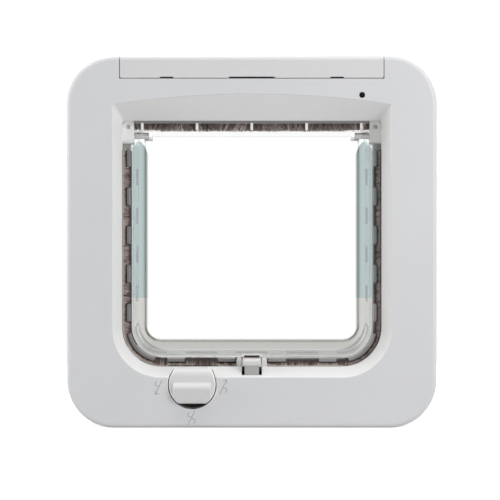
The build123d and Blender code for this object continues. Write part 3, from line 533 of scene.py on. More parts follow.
def bare_metal(name, colour, rough, streak):
    """Plain metal with fine drawn streaks, stretched by axis."""
    material, tree, shader = blank_finish(name)
    shader.inputs["Metallic"].default_value = 1.0
    lines = noise_node(tree, stretched_place(tree, streak), 1.0, 3.0)
    dark = tuple(0.7 * channel for channel in colour)
    tree.links.new(mix_node(tree, lines, dark, colour), shader.inputs["Base Color"])
    uneven = math_node(tree, "ADD", product(tree, lines, 0.2), rough)
    tree.links.new(uneven, shader.inputs["Roughness"])
    bump_from(tree, shader, lines, 0.08, 0.0001)
    return material


def painted_reflection_dashes(tree, axes, side, down, from_edge):
    """Mask of the faint dashes along the flap's rim, a painted reflection of the dark gaps between the
    guard's fingers.
    """
    on_side = math_node(tree, "GREATER_THAN", side, 0.0)
    on_sill = math_node(tree, "GREATER_THAN", down, 0.0)
    masks = []
    for axis, middle, pitch, least, elsewhere in (
        ("Z", GUARD_MIDDLE_Z + GUARD_SIDE_PITCH / 2, GUARD_SIDE_PITCH, DASH_SIDE_LEAST, on_sill),
        ("X", 0.0, GUARD_SILL_PITCH, DASH_SILL_LEAST, on_side),
    ):
        run = math_node(tree, "SUBTRACT", axes[axis], middle * MM)
        wave = math_node(tree, "COSINE", product(tree, run, 2 * math.pi / (pitch * MM)))
        dash = ramp_past(tree, wave, least, DASH_STEEP)
        masks.append(product(tree, dash, math_node(tree, "SUBTRACT", 1.0, elsewhere)))
    corner = product(tree, on_side, on_sill)
    dash = math_node(tree, "MAXIMUM", math_node(tree, "MAXIMUM", *masks), corner)
    nearer = product(tree, on_sill, DASH_NEARER_ON_SILL * MM)
    place = math_node(tree, "SUBTRACT", DASH_FROM_EDGE * MM, nearer)
    off_line = math_node(tree, "ABSOLUTE", math_node(tree, "SUBTRACT", from_edge, place))
    faded = math_node(tree, "DIVIDE", off_line, DASH_HALF_WIDTH * MM)
    line = math_node(tree, "SUBTRACT", DASH_CORE, faded, True)
    return product(tree, dash, line)


def rim_place(tree, axes):
    """How far a point lies out at the flap's side, down at its sill, and in from its edge."""
    side = math_node(tree, "SUBTRACT", math_node(tree, "ABSOLUTE", axes["X"]), LOW_CENTRE_X * MM)
    down = math_node(tree, "SUBTRACT", FLAP_CENTRE_Z * MM, axes["Z"])
    corner = hypotenuse(tree, math_node(tree, "MAXIMUM", side, 0.0), math_node(tree, "MAXIMUM", down, 0.0))
    inner = math_node(tree, "MINIMUM", math_node(tree, "MAXIMUM", side, down), 0.0)
    reach = math_node(tree, "ADD", corner, inner)
    return side, down, math_node(tree, "SUBTRACT", FLAP_LOW_RADIUS * MM, reach)


def plain_stops(tones):
    """Colour stops of the rim where it has no film: painted shade of the tunnel seen through the clear rim,
    darkest at the step.
    """
    return [
        (0.00, (0.30, 0.30, 0.30)),
        (0.05, (0.62, 0.62, 0.61)),
        (0.10, tones["outer"]),
        (0.31, tones["outer"]),
        (0.36, tones["middle"]),
        (0.57, tones["inner"]),
        (0.64, tones["step"]),
        (0.69, tones["lip"]),
        (0.74, (0.66, 0.66, 0.65)),
        (0.78, WINDOW),
    ]


def above_film(tree, axes, from_edge):
    """Mask of what lies above the film, whose upper end is an arch across the rim."""
    half = FLAP_RIM / 2 * MM
    off_middle = math_node(tree, "DIVIDE", math_node(tree, "SUBTRACT", from_edge, half), half)
    arch = product(tree, off_middle, off_middle, FILM_ARCH * MM)
    return ramp_past(tree, math_node(tree, "ADD", axes["Z"], arch), FILM_HIGH_Z * MM, FILM_STEEP)


def soften_step(tree, shader, axes, band):
    """Turn the normal of the rim's step towards the flap's flat side, below the hinge."""
    below_hinge = math_node(tree, "LESS_THAN", axes["Z"], FILM_HIGH_Z * MM)
    on_step = product(tree, near(tree, band, STEP_MIDDLE, STEP_REACH), below_hinge)
    in_front = math_node(tree, "LESS_THAN", axes["Y"], -FLAP_LEVEL * MM)
    softened = tree.nodes.new("ShaderNodeNormalMap")
    softened.space = "OBJECT"
    tree.links.new(mix_node(tree, in_front, FACING_DOOR, FACING_ROOM), softened.inputs["Color"])
    tree.links.new(product(tree, on_step, STEP_SOFTENING), softened.inputs["Strength"])
    tree.links.new(softened.outputs["Normal"], shader.inputs["Normal"])


def flap_plastic():
    """Clear flap: a plain window, and a rim whose bands and film follow the distance from its edge; the
    bands' tones are painted shade and the dashes a painted reflection.
    """
    material, tree, shader = blank_finish("flap_plastic")
    shader.inputs["Transmission Weight"].default_value = 1.0
    shader.inputs["IOR"].default_value = CLEAR_IOR
    axes = place_axes(tree)
    side, down, from_edge = rim_place(tree, axes)
    turned = math_node(tree, "DIVIDE", math_node(tree, "SUBTRACT", down, side), SILL_TURN * MM)
    sill_share = math_node(tree, "ADD", turned, 0.5, True)
    further_in = math_node(tree, "SUBTRACT", from_edge, SILL_EXTRA_FROM * MM)
    well_in = math_node(tree, "DIVIDE", further_in, SILL_EXTRA_OVER * MM, True)
    wider = product(tree, sill_share, well_in, SILL_RIM_EXTRA * MM)
    band = math_node(tree, "DIVIDE", math_node(tree, "SUBTRACT", from_edge, wider), BAND_WIDTH * MM)
    # Painted shade in the rim's bands, darker on the sill; the film keeps its own tint
    plain_side, plain_sill = (
        ramp_node(tree, band, plain_stops(tones)) for tones in (PLAIN_SIDE, PLAIN_SILL)
    )
    plain = mix_node(tree, sill_share, plain_side, plain_sill)
    with_film = ramp_past(tree, axes["Z"], FILM_LOW_Z * MM, FILM_STEEP)
    rim = mix_node(tree, with_film, plain, ramp_node(tree, band, FILM_STOPS))
    dashes = product(tree, painted_reflection_dashes(tree, axes, side, down, from_edge), DASH_SHARE)
    # Painted reflection: faint dashes of the gaps between the guard's fingers
    rim = mix_node(tree, dashes, rim, DASH_PAINTED_REFLECTION)
    coloured = mix_node(tree, above_film(tree, axes, from_edge), rim, WINDOW)
    tree.links.new(coloured, shader.inputs["Base Color"])
    rough = product(tree, noise_node(tree, object_place(tree), 70.0, 4.0), 0.06)
    tree.links.new(rough, shader.inputs["Roughness"])
    soften_step(tree, shader, axes, band)
    return material


def clear_plastic():
    """Milky clear moulding of the catch's cheeks."""
    material, tree, shader = blank_finish("clear_plastic")
    shader.inputs["Transmission Weight"].default_value = 0.3
    shader.inputs["IOR"].default_value = CLEAR_IOR
    cloud = noise_node(tree, object_place(tree), 400.0)
    milky = mix_node(tree, cloud, (0.86, 0.87, 0.87), (0.96, 0.96, 0.96))
    tree.links.new(milky, shader.inputs["Base Color"])
    tree.links.new(product(tree, cloud, 0.3), shader.inputs["Roughness"])
    return material


def catch_finish():
    """White catch whose stem below the head is painted grey as painted shade under the head."""
    material, tree, shader = blank_finish("catch_plastic")
    skin, rough = lay_skin(tree, shader, CATCH_WHITE, 0.34)
    # Painted shade: the stem below the head is made grey
    below = ramp_past(tree, CATCH_STEM_Z * MM, place_axes(tree)["Z"], CRISP)
    tree.links.new(mix_node(tree, below, skin, STEM_PAINTED_SHADE), shader.inputs["Base Color"])
    tree.links.new(rough, shader.inputs["Roughness"])
    return material


def retainer_finish():
    """White comb across the top brush, whose strip along the pile's roots carries a painted shadow of the
    mouth's brow.
    """
    material, tree, shader = blank_finish("comb_plastic")
    skin, rough = lay_skin(tree, shader, COMB_WHITE, 0.25, spread=0.04)
    height = place_axes(tree)["Z"]
    # Painted shadow of the mouth's brow: dark at the pile's roots, greyer up to the collar
    strip = ramp_past(tree, height, RETAINER_STRIP_Z * MM, CRISP)
    rise = math_node(tree, "SUBTRACT", height, RETAINER_STRIP_Z * MM)
    share = math_node(tree, "DIVIDE", rise, (COLLAR_TOP_Z - RETAINER_STRIP_Z) * MM, True)
    shade = mix_node(tree, share, STRIP_PAINTED_SHADOW, STRIP_SHADOW_FADE)
    tree.links.new(mix_node(tree, strip, skin, shade), shader.inputs["Base Color"])
    tree.links.new(rough, shader.inputs["Roughness"])
    return material


def painted_shade_band(tree, axes):
    """Mask of the painted shade along the tunnel's front edge, fainter on the floor and the right wall
    beside the flap.
    """
    front = ramp_past(tree, -TUNNEL_FRONT_LEVEL * MM, axes["Y"], SOFT)
    low = math_node(tree, "LESS_THAN", axes["Z"], BRUSH_TOP_Z * MM)
    on_sill = math_node(tree, "LESS_THAN", axes["Z"], SILL_Z * MM)
    on_floor = math_node(tree, "GREATER_THAN", axes["Z"], (TUNNEL_FLOOR_Z - TUNNEL_SKIN) * MM)
    on_right = math_node(tree, "GREATER_THAN", axes["X"], LOW_CENTRE_X * MM)
    on_wall = math_node(tree, "LESS_THAN", axes["X"], (TUNNEL_HALF_WIDTH + TUNNEL_SKIN) * MM)
    floor_fade = product(tree, on_sill, on_floor, TUNNEL_FLOOR_FADE)
    wall_fade = product(tree, on_right, on_wall, TUNNEL_WALL_FADE)
    kept = math_node(tree, "SUBTRACT", 1.0, math_node(tree, "MAXIMUM", floor_fade, wall_fade))
    return product(tree, front, low, kept)


def tunnel_finish():
    """White tunnel, with painted light and polish under its roof, and a band of painted shade along its
    front edge behind the brush.
    """
    material, tree, shader = blank_finish("tunnel_plastic")
    skin, rough = lay_skin(tree, shader, TUNNEL_WHITE, 0.36)
    marks = place_group(tree, HANDLING_MARKS, Amount=0.8).outputs["Mask"]
    axes = place_axes(tree)
    worn = mix_node(tree, product(tree, marks, WORN_SHARE), skin, TUNNEL_WORN)
    # Painted light: the underside of the roof is made lighter, and polished
    roof = ramp_past(tree, axes["Z"], TUNNEL_ROOF_Z * MM, SOFT)
    painted_lighter = mix_node(tree, roof, worn, ROOF_PAINTED_LIGHT)
    # Painted shade: a dark band along the front edge, made dull so that it stays dark
    band = painted_shade_band(tree, axes)
    tree.links.new(mix_node(tree, band, painted_lighter, FRONT_PAINTED_SHADE), shader.inputs["Base Color"])
    rough = math_node(tree, "ADD", rough, product(tree, band, SHADE_BAND_ROUGHNESS), True)
    rough = math_node(tree, "SUBTRACT", rough, product(tree, roof, ROOF_POLISH), True)
    tree.links.new(rough, shader.inputs["Roughness"])
    tree.links.new(roof, shader.inputs["Coat Weight"])
    return material


def guard_finish():
    """Grey guard, paler on the right, where light falls through the clear rim on to its fingers."""
    material = moulded_plastic("guard_plastic", GUARD_GREY, gloss=0.4, scuffs=0.2)
    tree, base, grey, axes = open_finish(material)
    right = math_node(tree, "DIVIDE", axes["X"], GUARD_FADE * MM, True)
    by_film = math_node(tree, "GREATER_THAN", axes["Z"], FILM_LOW_Z * MM)
    on_sill = math_node(tree, "LESS_THAN", axes["Z"], SILL_Z * MM)
    paler = mix_node(tree, by_film, GUARD_RIGHT_LOW, GUARD_RIGHT_HIGH)
    paler = mix_node(tree, on_sill, paler, GUARD_RIGHT_SILL)
    tree.links.new(mix_node(tree, right, grey, paler), base)
    return material


def pile_finish():
    """Brown pile, each fibre in its own shade, with painted light and shade that changes it from root to
    tip.
    """
    material, tree, shader = blank_finish("brush_pile")
    shade = tree.nodes.new("ShaderNodeAttribute")
    shade.attribute_name = "fibre_shade"
    tree.links.new(ramp_node(tree, shade.outputs["Fac"], PILE_STOPS), shader.inputs["Base Color"])
    shader.inputs["Roughness"].default_value = 0.7
    shader.inputs["Sheen Weight"].default_value = 0.3
    return material


def cell_jacket():
    """Plain dark cell jacket with bare metal at both ends."""
    material, tree, shader = blank_finish("cell_jacket")
    across = math_node(tree, "ABSOLUTE", place_axes(tree)["X"])
    off_middle = math_node(tree, "ABSOLUTE", math_node(tree, "SUBTRACT", across, CELL_MIDDLE_X * MM))
    bare = ramp_past(tree, off_middle, JACKET_HALF_LENGTH * MM, JACKET_STEEP)
    cloud = noise_node(tree, object_place(tree), 60.0, 3.0)
    jacket = mix_node(tree, cloud, (0.035, 0.036, 0.04), (0.06, 0.062, 0.068))
    tree.links.new(mix_node(tree, bare, jacket, (0.62, 0.61, 0.58)), shader.inputs["Base Color"])
    tree.links.new(bare, shader.inputs["Metallic"])
    rough = math_node(tree, "ADD", product(tree, cloud, 0.15), 0.22)
    tree.links.new(rough, shader.inputs["Roughness"])
    return material


def board_finish():
    """Circuit board with copper tracks under green lacquer."""
    material, tree, shader = blank_finish("board_green")
    bricks = tree.nodes.new("ShaderNodeTexBrick")
    bricks.inputs["Color1"].default_value = (0.012, 0.10, 0.035, 1.0)
    bricks.inputs["Color2"].default_value = (0.018, 0.14, 0.05, 1.0)
    bricks.inputs["Mortar"].default_value = (0.05, 0.24, 0.09, 1.0)
    bricks.inputs["Scale"].default_value = 1.0
    bricks.inputs["Mortar Size"].default_value = 0.06
    tree.links.new(stretched_place(tree, (260.0, 420.0, 260.0)), bricks.inputs["Vector"])
    tree.links.new(bricks.outputs["Color"], shader.inputs["Base Color"])
    shader.inputs["Roughness"].default_value = 0.3
    bump_from(tree, shader, bricks.outputs["Fac"], 0.2, 0.0001)
    return material


def bound_tape():
    """Black cloth tape bound round the coil: a plain weave with paler threads."""
    material, tree, shader = blank_finish("bound_tape")
    threads = []
    place = object_place(tree)
    for direction in ("X", "Y"):
        waves = tree.nodes.new("ShaderNodeTexWave")
        waves.bands_direction = direction
        waves.inputs["Scale"].default_value = 420.0
        waves.inputs["Distortion"].default_value = 0.8
        tree.links.new(place, waves.inputs["Vector"])
        threads.append(waves.outputs["Fac"])
    weave = product(tree, *threads)
    woven = mix_node(tree, weave, (0.012, 0.011, 0.010), (0.045, 0.042, 0.039))
    tree.links.new(woven, shader.inputs["Base Color"])
    shader.inputs["Roughness"].default_value = 0.8
    bump_from(tree, shader, weave, 0.4, 0.0002)
    return material


def rubber(name, colour):
    """Dull dark rubber."""
    return moulded_plastic(name, colour, gloss=0.7, scuffs=0.2, shine=0.2)


def washer_finish():
    """Dark washer in the dial's well, painted white as painted light up in the fine gap round the dial."""
    material = rubber("dial_washer_rubber", (0.075, 0.050, 0.036))
    tree, base, dark, axes = open_finish(material)
    # Painted light: the washer is white above its dark part, in the fine gap
    above = ramp_past(tree, axes["Z"], WASHER_DARK_Z * MM, WASHER_STEEP)
    tree.links.new(mix_node(tree, above, dark, GAP_PAINTED_LIGHT), base)
    return material


finishes = {
    "housing_plastic": housing_painted_light(),
    "exterior_plastic": moulded_plastic("exterior_plastic", HOUSING, scuffs=0.8),
    "cover_plastic": moulded_plastic("cover_plastic", (0.69, 0.69, 0.70)),
    "tunnel_plastic": tunnel_finish(),
    "dial_plastic": dial_finish(),
    "catch_plastic": catch_finish(),
    "retainer_plastic": moulded_plastic("retainer_plastic", (0.84, 0.84, 0.83), gloss=0.2, scuffs=0.2),
    "guard_plastic": guard_finish(),
    "button_plastic": moulded_plastic("button_plastic", (0.28, 0.28, 0.29), gloss=0.5),
    "light_black": moulded_plastic("light_black", (0.006, 0.006, 0.007), gloss=0.3, scuffs=0.0, shine=0.1),
    "clear_plastic": clear_plastic(),
    "brush_pile": pile_finish(),
    "steel": bare_metal("steel", (0.62, 0.62, 0.60), 0.26, (900.0, 60.0, 900.0)),
    "motor_metal": bare_metal("motor_metal", (0.50, 0.50, 0.50), 0.34, (60.0, 900.0, 900.0)),
    "cell_jacket": cell_jacket(),
    "board_green": board_finish(),
    "coil_tape": bound_tape(),
    "washer_rubber": rubber("washer_rubber", (0.050, 0.034, 0.026)),
}
own_finishes = {"flap": flap_plastic(), "brush_retainer": retainer_finish(), "dial_washer": washer_finish()}


def dress(obj, material):
    """Give an object one finish all over."""
    obj.data.materials.clear()
    obj.data.materials.append(material)


for row in frame["record"]["subparts"]:
    dress(nodes[row["node"]], own_finishes.get(row["node"], finishes[row["material_slot"]]))


def model_fibre():
    """One fibre of the pile, a fine tapered blade a unit long that bows a little, root at the origin."""
    start_clean()
    bpy.ops.mesh.primitive_cone_add(
        vertices=3, radius1=FIBRE_ROOT_RADIUS, radius2=FIBRE_TIP_RADIUS, depth=1.0, location=(0, 0, 0.5)
    )
    fibre = settle(bpy.context.object)
    bpy.ops.object.mode_set(mode="EDIT")
    bpy.ops.mesh.select_all(action="SELECT")
    bpy.ops.mesh.bisect(plane_co=(0, 0, FIBRE_BEND), plane_no=(0, 0, 1))
    bpy.ops.mesh.select_all(action="DESELECT")
    bpy.ops.object.mode_set(mode="OBJECT")
    for vertex in fibre.data.vertices:
        vertex.co.x += FIBRE_BOW * vertex.co.z**2
    return fibre


def brush_run(distance):
    """Point and inward direction on the wall behind the side and sill brush, in mm from its upper left."""
    side = BRUSH_TOP_Z - LOW_CENTRE_Z
    arc = BRUSH_WALL_RADIUS * math.pi / 2
    sill = 2 * LOW_CENTRE_X
    wall = LOW_CENTRE_X + BRUSH_WALL_RADIUS
    if distance < side:
        return Vector((-wall, 0, BRUSH_TOP_Z - distance)), Vector((1, 0, 0))
    distance -= side
    for centre_x, first in ((-LOW_CENTRE_X, math.pi), (LOW_CENTRE_X, 1.5 * math.pi)):
        if distance < arc:
            angle = first + distance / BRUSH_WALL_RADIUS
            out = Vector((math.cos(angle), 0, math.sin(angle)))
            return Vector((centre_x, 0, LOW_CENTRE_Z)) + BRUSH_WALL_RADIUS * out, -out
        distance -= arc
        if centre_x < 0:
            if distance < sill:
                low = LOW_CENTRE_Z - BRUSH_WALL_RADIUS
                return Vector((-LOW_CENTRE_X + distance, 0, low)), Vector((0, 0, 1))
            distance -= sill
    return Vector((wall, 0, LOW_CENTRE_Z + distance)), Vector((-1, 0, 0))


def plant_fibres(name, fibre, roots, shading):
    """Copy the fibre to every root, a (point, direction, along, length, width, shade) in mm, as one mesh."""
    at_root, at_tip = shading
    shape = np.array([v.co for v in fibre.data.vertices])
    faces = [tuple(p.vertices) for p in fibre.data.polygons]
    points, polygons, shades = [], [], []
    for number, (point, up, along, length, width, shade) in enumerate(roots):
        across = up.cross(along).normalized()
        frame_axes = np.array([width * across, width * along, length * up])
        points.append((shape @ frame_axes + np.array(point)) * MM)
        polygons.extend(tuple(v + number * len(shape) for v in face) for face in faces)
        # Painted light and shade: the fibre's shade changes from root to tip
        shades.append(shade * (at_root + (at_tip - at_root) * shape[:, 2]))
    mesh = bpy.data.meshes.new(name)
    mesh.from_pydata(np.concatenate(points), [], polygons)
    layer = mesh.attributes.new("fibre_shade", "FLOAT", "POINT")
    layer.data.foreach_set("value", np.concatenate(shades).astype(np.float32))
    pile = bpy.data.objects.new(name, mesh)
    bpy.context.scene.collection.objects.link(pile)
    dress(pile, finishes["brush_pile"])
    return pile


def jitter(amount):
    """A random shift of up to the given amount either way."""
    return rng.uniform(-amount, amount)


def lean(up, along, amount):
    """Lean a fibre a little along the strip and out of it."""
    tilted = up + along * rng.normal(0, amount) + Vector((0, 1, 0)) * rng.normal(0, amount)
    return tilted.normalized()


def behind_guard(point):
    """Whether the guard has a finger in front of this place on the wall."""
    if point.z > LOW_CENTRE_Z:
        return any(abs(point.z - middle) < GUARD_HALF_FINGER for middle in GUARD_SIDE_MIDDLES)
    if abs(point.x) < LOW_CENTRE_X:
        return any(abs(point.x - middle) < GUARD_HALF_FINGER for middle in GUARD_SILL_MIDDLES)
    down_turn = math.degrees(math.atan2(LOW_CENTRE_Z - point.z, abs(point.x) - LOW_CENTRE_X))
    return abs(down_turn - 45.0) < GUARD_CORNER_HALF_SWEEP


def clump_shades(length):
    """Shade of every clump of fibres along a strip, so that the pile looks tufted."""
    return rng.uniform(*SHADE_RANGE, int(length / CLUMP_SIZE) + 2)


def fibre_shade(clumps, distance):
    """Shade of one fibre: mostly its clump's, the rest its own, with the dark ones pushed darker."""
    clump = clumps[int(distance / CLUMP_SIZE)]
    return (CLUMP_SHARE * clump + (1 - CLUMP_SHARE) * rng.uniform(*SHADE_RANGE)) ** SHADE_CONTRAST


def surround_roots():
    """Roots of the side and sill brush, in rows from the tunnel's shelf to its front."""
    length = 2 * (BRUSH_TOP_Z - LOW_CENTRE_Z) + BRUSH_WALL_RADIUS * math.pi + 2 * LOW_CENTRE_X
    roots = []
    for row in np.linspace(*SURROUND_ROWS):
        clumps = clump_shades(length)
        for distance in np.arange(RUN_MARGIN, length - RUN_MARGIN, FIBRE_SPACING):
            point, up = brush_run(distance + jitter(ALONG_JITTER))
            covered = behind_guard(point)
            tall = rng.uniform(*(COVERED_LENGTHS if covered else FREE_LENGTHS))
            if point.x > 0 and not covered:
                tall -= SHORTER_RIGHT
            place = point + Vector((0, -row + jitter(ROW_JITTER), 0)) + ROOT_LIFT * up
            along = Vector((up.z, 0, -up.x))
            turned = lean(up, along, SURROUND_LEAN)
            width = rng.uniform(*FIBRE_WIDTHS)
            # Painted light on the fibres behind the guard's fingers, painted shade on the sill
            shade = fibre_shade(clumps, distance) * (COVERED_PAINTED_LIGHT if covered else 1.0)
            shade *= 1.0 + (SILL_PAINTED_SHADE - 1.0) * max(up.z, 0.0)
            roots.append((place, turned, along, tall - ROOT_LIFT, width, shade))
    return roots


def top_roots():
    """Roots of the brush above the hinge, hanging from the collar's roof."""
    roots = []
    down, along = Vector((0, 0, -1)), Vector((1, 0, 0))
    for row in np.linspace(*TOP_ROWS):
        clumps = clump_shades(2 * TOP_HALF_WIDTH)
        for x in np.arange(-TOP_HALF_WIDTH, TOP_HALF_WIDTH, FIBRE_SPACING):
            place = Vector((x + jitter(ALONG_JITTER), -row + jitter(ROW_JITTER), TOP_ROOT_Z))
            swept = down + along * TOP_SWEEP * math.sin(x / TOP_SWEEP_PERIOD + row)
            turned = lean(swept.normalized(), along, TOP_LEAN)
            shade = fibre_shade(clumps, x + TOP_HALF_WIDTH)
            tall = rng.uniform(*TOP_LENGTHS) - (OVER_KNUCKLE if abs(x) > NEAR_KNUCKLE_X else 0.0)
            roots.append((place, turned, along, tall, rng.uniform(*FIBRE_WIDTHS), shade))
    return roots


def model_backing():
    """Woven backing of the side and sill brush: a thin strip run down, round, along, round and up."""
    start_clean()
    wall = LOW_CENTRE_X + BRUSH_WALL_RADIUS
    bpy.ops.mesh.primitive_plane_add(size=1.0, location=(-wall + BACKING_INSET, -BRUSH_LEVEL, BRUSH_TOP_Z))
    strip = bpy.context.object
    strip.scale = BACKING_SIZE
    settle(strip)
    bpy.ops.object.mode_set(mode="EDIT")
    bpy.ops.mesh.select_all(action="SELECT")

    def run(x, z):
        bpy.ops.mesh.extrude_region_move(TRANSFORM_OT_translate={"value": (x, 0, z)})

    def turn(centre_x):
        bpy.ops.mesh.spin(
            steps=14,
            angle=math.pi / 2,
            center=(centre_x, 0, LOW_CENTRE_Z),
            axis=(0, 1, 0),
            use_auto_merge=False,
        )

    run(0, LOW_CENTRE_Z - BRUSH_TOP_Z)
    turn(-LOW_CENTRE_X)
    reached = -LOW_CENTRE_X
    far, close = BACKING_DARK_REACH + BACKING_FADE, BACKING_DARK_REACH - BACKING_FADE
    for stop in (DIAL_X - far, DIAL_X - close, DIAL_X + close, DIAL_X + far, LOW_CENTRE_X):
        run(stop - reached, 0)
        reached = stop
    turn(LOW_CENTRE_X)
    run(0, BRUSH_TOP_Z - LOW_CENTRE_Z)
    bpy.ops.mesh.select_all(action="SELECT")
    bpy.ops.mesh.remove_doubles(threshold=0.001)
    bpy.ops.mesh.normals_make_consistent(inside=False)
    bpy.ops.object.mode_set(mode="OBJECT")
    strip.data.transform(Matrix.Scale(MM, 4))
    return strip


def model_top_backing():
    """Woven backing of the brush above the hinge."""
    start_clean()
    bpy.ops.mesh.primitive_cube_add(size=1.0, location=(0, -BRUSH_LEVEL, TOP_BACKING_Z))
    strip = bpy.context.object
    strip.scale = TOP_BACKING_SIZE
    settle(strip)
    strip.data.transform(Matrix.Scale(MM, 4))
    return strip


def join_backing(pile, backing, pale):
    """Make the backing part of the pile, painted pale as painted light but for the right-hand side and the
    place over the dial, where it keeps its dark shade.
    """
    layer = backing.data.attributes.new("fibre_shade", "FLOAT", "POINT")
    across = np.array([v.co.x for v in backing.data.vertices]) / MM
    dark = (across > LOW_CENTRE_X + BACKING_FADE) | (abs(across - DIAL_X) < BACKING_DARK_REACH)
    # Painted light: the backing is pale but for the right-hand side and the place over the dial
    layer.data.foreach_set("value", np.where(dark, BACKING_DARK, pale).astype(np.float32))
    start_clean()
    backing.select_set(True)
    pile.select_set(True)
    bpy.context.view_layer.objects.active = pile
    bpy.ops.object.join()
    dress(pile, finishes["brush_pile"])
    return pile


fibre = model_fibre()
for name, node, roots, shading, backing, pale in (
    ("surround_pile", "brush_surround", surround_roots(), SURROUND_PAINTED_SHADING, model_backing(), BACKING_PAINTED_LIGHT),
    ("top_pile", "brush_top", top_roots(), TOP_PAINTED_SHADING, model_top_backing(), BACKING_DARK),
):
    pile = join_backing(plant_fibres(name, fibre, roots, shading), backing, pale)
    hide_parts(node)
    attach(pile, "housing")
bpy.data.objects.remove(fibre)

# Printed marks round the dial: strokes as pairs of (x, z) points about a mark's middle, in millimetres
MARK_STROKE_RADIUS = 0.17
MARK_FLATNESS = 0.3
SLASH = [((1.8, 4.0), (-2.0, -4.2))]
HEAD_OUT = [((1.8, 4.0), (-0.3, 3.5)), ((1.8, 4.0), (2.1, 1.9))]
HEAD_IN = [((-2.0, -4.2), (0.1, -3.7)), ((-2.0, -4.2), (-2.3, -2.1))]
LOW_HOOK = [((0.1, -0.3), (1.7, -0.9)), ((1.7, -0.9), (2.0, -2.2)), ((2.0, -2.2), (1.0, -3.2))]
HIGH_HOOK = [((-0.3, 0.3), (-1.9, 0.8)), ((-1.9, 0.8), (-2.2, 2.1)), ((-2.2, 2.1), (-1.2, 3.1))]
mark_ink = moulded_plastic("mark_ink", (0.30, 0.30, 0.31), gloss=0.55, scuffs=0.0)


def mark_rod(first, last):
    """A straight stroke of a mark between two points of the face, in mm."""
    start, end = Vector((first[0], 0, first[1])), Vector((last[0], 0, last[1]))
    bpy.ops.mesh.primitive_cylinder_add(
        vertices=10,
        radius=MARK_STROKE_RADIUS,
        depth=(end - start).length,
        location=(start + end) / 2,
        rotation=(end - start).to_track_quat("Z", "Y").to_euler(),
    )
    return bpy.context.object


def dial_mark(name, middle, strokes):
    """A printed mark on the face: strokes joined and pressed flat."""
    start_clean()
    pieces = [mark_rod(first, last) for first, last in strokes]
    start_clean()
    for piece in pieces:
        piece.select_set(True)
    bpy.context.view_layer.objects.active = pieces[0]
    bpy.ops.object.transform_apply(location=False, rotation=True, scale=True)
    bpy.ops.object.join()
    mark = bpy.context.object
    mark.name = name
    settle(mark)
    mark.data.transform(Matrix.Diagonal((MM, MARK_FLATNESS * MM, MM, 1.0)))
    mark.data.transform(Matrix.Translation(Vector((middle[0], -FACE_LEVEL, middle[1])) * MM))
    dress(mark, mark_ink)
    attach(mark, "housing")


for name, middle, strokes in (
    ("dial_mark_left", (-52.7, -82.2), SLASH + HEAD_IN + HIGH_HOOK),
    ("dial_mark_right", (-16.2, -82.2), SLASH + HEAD_OUT + LOW_HOOK),
    ("dial_mark_low", (-34.1, -99.6), SLASH + HIGH_HOOK + LOW_HOOK),
):
    dial_mark(name, middle, strokes)

# Light and camera: lengths of the lamps and the floor in metres, of the camera in millimetres
LAMPS = {
    "top_box": {"size": (1.2, 0.4), "place": (0.0, -0.25, 1.2), "strength": 6.6},
    "left_box": {"size": (0.3, 0.9), "place": (-1.2, -0.16, 0.15), "strength": 8.2},
    "right_box": {"size": (0.5, 0.9), "place": (0.85, -0.85, 0.3), "strength": 7.8},
    "back_box": {"size": (0.7, 0.5), "place": (-0.3, 0.9, 1.0), "strength": 5.5},
}
FLOOR_SIZE = (1.8, 1.9)
FLOOR_FORWARD = 0.5
FLOOR_SEEN = 0.75
WORLD_LIGHT = 0.36
WORLD_SEEN_MORE = 0.655
CAMERA_AWAY = 900.0
VIEW_WIDTH = 283.5
SENSOR_WIDTH = 36.0
SHIFT_X = -1.8 / 500
SHIFT_Y = -8.0 / 500


def stage_light(name, size, place, strength):
    """A soft box aimed at the part's origin."""
    lamp = bpy.data.lights.new(name, "AREA")
    lamp.shape = "RECTANGLE"
    lamp.size, lamp.size_y = size
    lamp.energy = strength
    light = bpy.data.objects.new(name, lamp)
    light.location = place
    light.rotation_euler = (Vector((0, 0, 0)) - Vector(place)).to_track_quat("-Z", "Y").to_euler()
    bpy.context.scene.collection.objects.link(light)


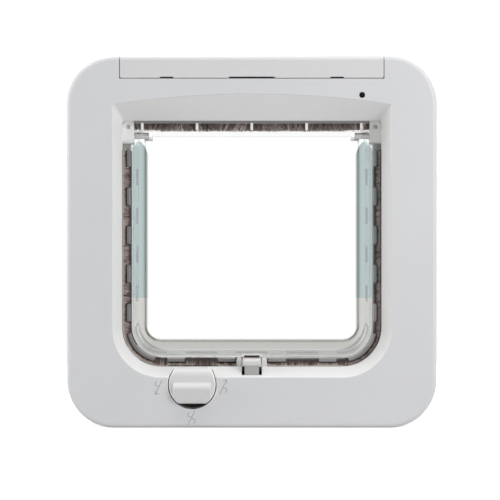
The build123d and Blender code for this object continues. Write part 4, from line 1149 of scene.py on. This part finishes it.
def seen_directly(tree):
    """1 for camera, glossy and transmission rays, 0 for the rays that light the part."""
    path = tree.nodes.new("ShaderNodeLightPath")
    total = math_node(tree, "ADD", path.outputs["Is Camera Ray"], path.outputs["Is Glossy Ray"])
    return math_node(tree, "ADD", total, path.outputs["Is Transmission Ray"], clamp=True)


def make_floor():
    """A pale floor under the part, white where it is seen."""
    start_clean()
    bpy.ops.mesh.primitive_plane_add(size=1.0, location=(0, -FLOOR_FORWARD, FLOOR_Z * MM))
    floor = bpy.context.object
    floor.name = "floor"
    floor.scale = (*FLOOR_SIZE, 1.0)
    settle(floor)
    material, tree, shader = blank_finish("floor_white")
    shader.inputs["Base Color"].default_value = (0.55, 0.55, 0.55, 1.0)
    shader.inputs["Roughness"].default_value = 0.9
    shader.inputs["Specular IOR Level"].default_value = 0.0
    shader.inputs["Emission Color"].default_value = (1.0, 1.0, 1.0, 1.0)
    seen = product(tree, seen_directly(tree), FLOOR_SEEN)
    tree.links.new(seen, shader.inputs["Emission Strength"])
    dress(floor, material)


def make_world():
    """White surroundings, dimmer for the rays that light the part."""
    world = bpy.data.worlds.new("studio")
    world.use_nodes = True
    tree = world.node_tree
    surround = tree.nodes["Background"]
    surround.inputs["Color"].default_value = (1.0, 1.0, 1.0, 1.0)
    strength = math_node(tree, "ADD", product(tree, seen_directly(tree), WORLD_SEEN_MORE), WORLD_LIGHT)
    tree.links.new(strength, surround.inputs["Strength"])
    bpy.context.scene.world = world


def make_camera():
    """A camera square on to the face."""
    camera_data = bpy.data.cameras.new("camera")
    camera_data.sensor_width = SENSOR_WIDTH
    camera_data.lens = SENSOR_WIDTH * CAMERA_AWAY / VIEW_WIDTH
    camera_data.shift_x = SHIFT_X
    camera_data.shift_y = SHIFT_Y
    camera = bpy.data.objects.new("camera", camera_data)
    camera.location = (0, -(FACE_LEVEL + CAMERA_AWAY) * MM, 0)
    camera.rotation_euler = (math.pi / 2, 0, 0)
    bpy.context.scene.collection.objects.link(camera)
    bpy.context.scene.camera = camera


make_floor()
make_world()
for name, lamp in LAMPS.items():
    stage_light(name, **lamp)
make_camera()
bpy.context.scene.view_settings.view_transform = "Standard"
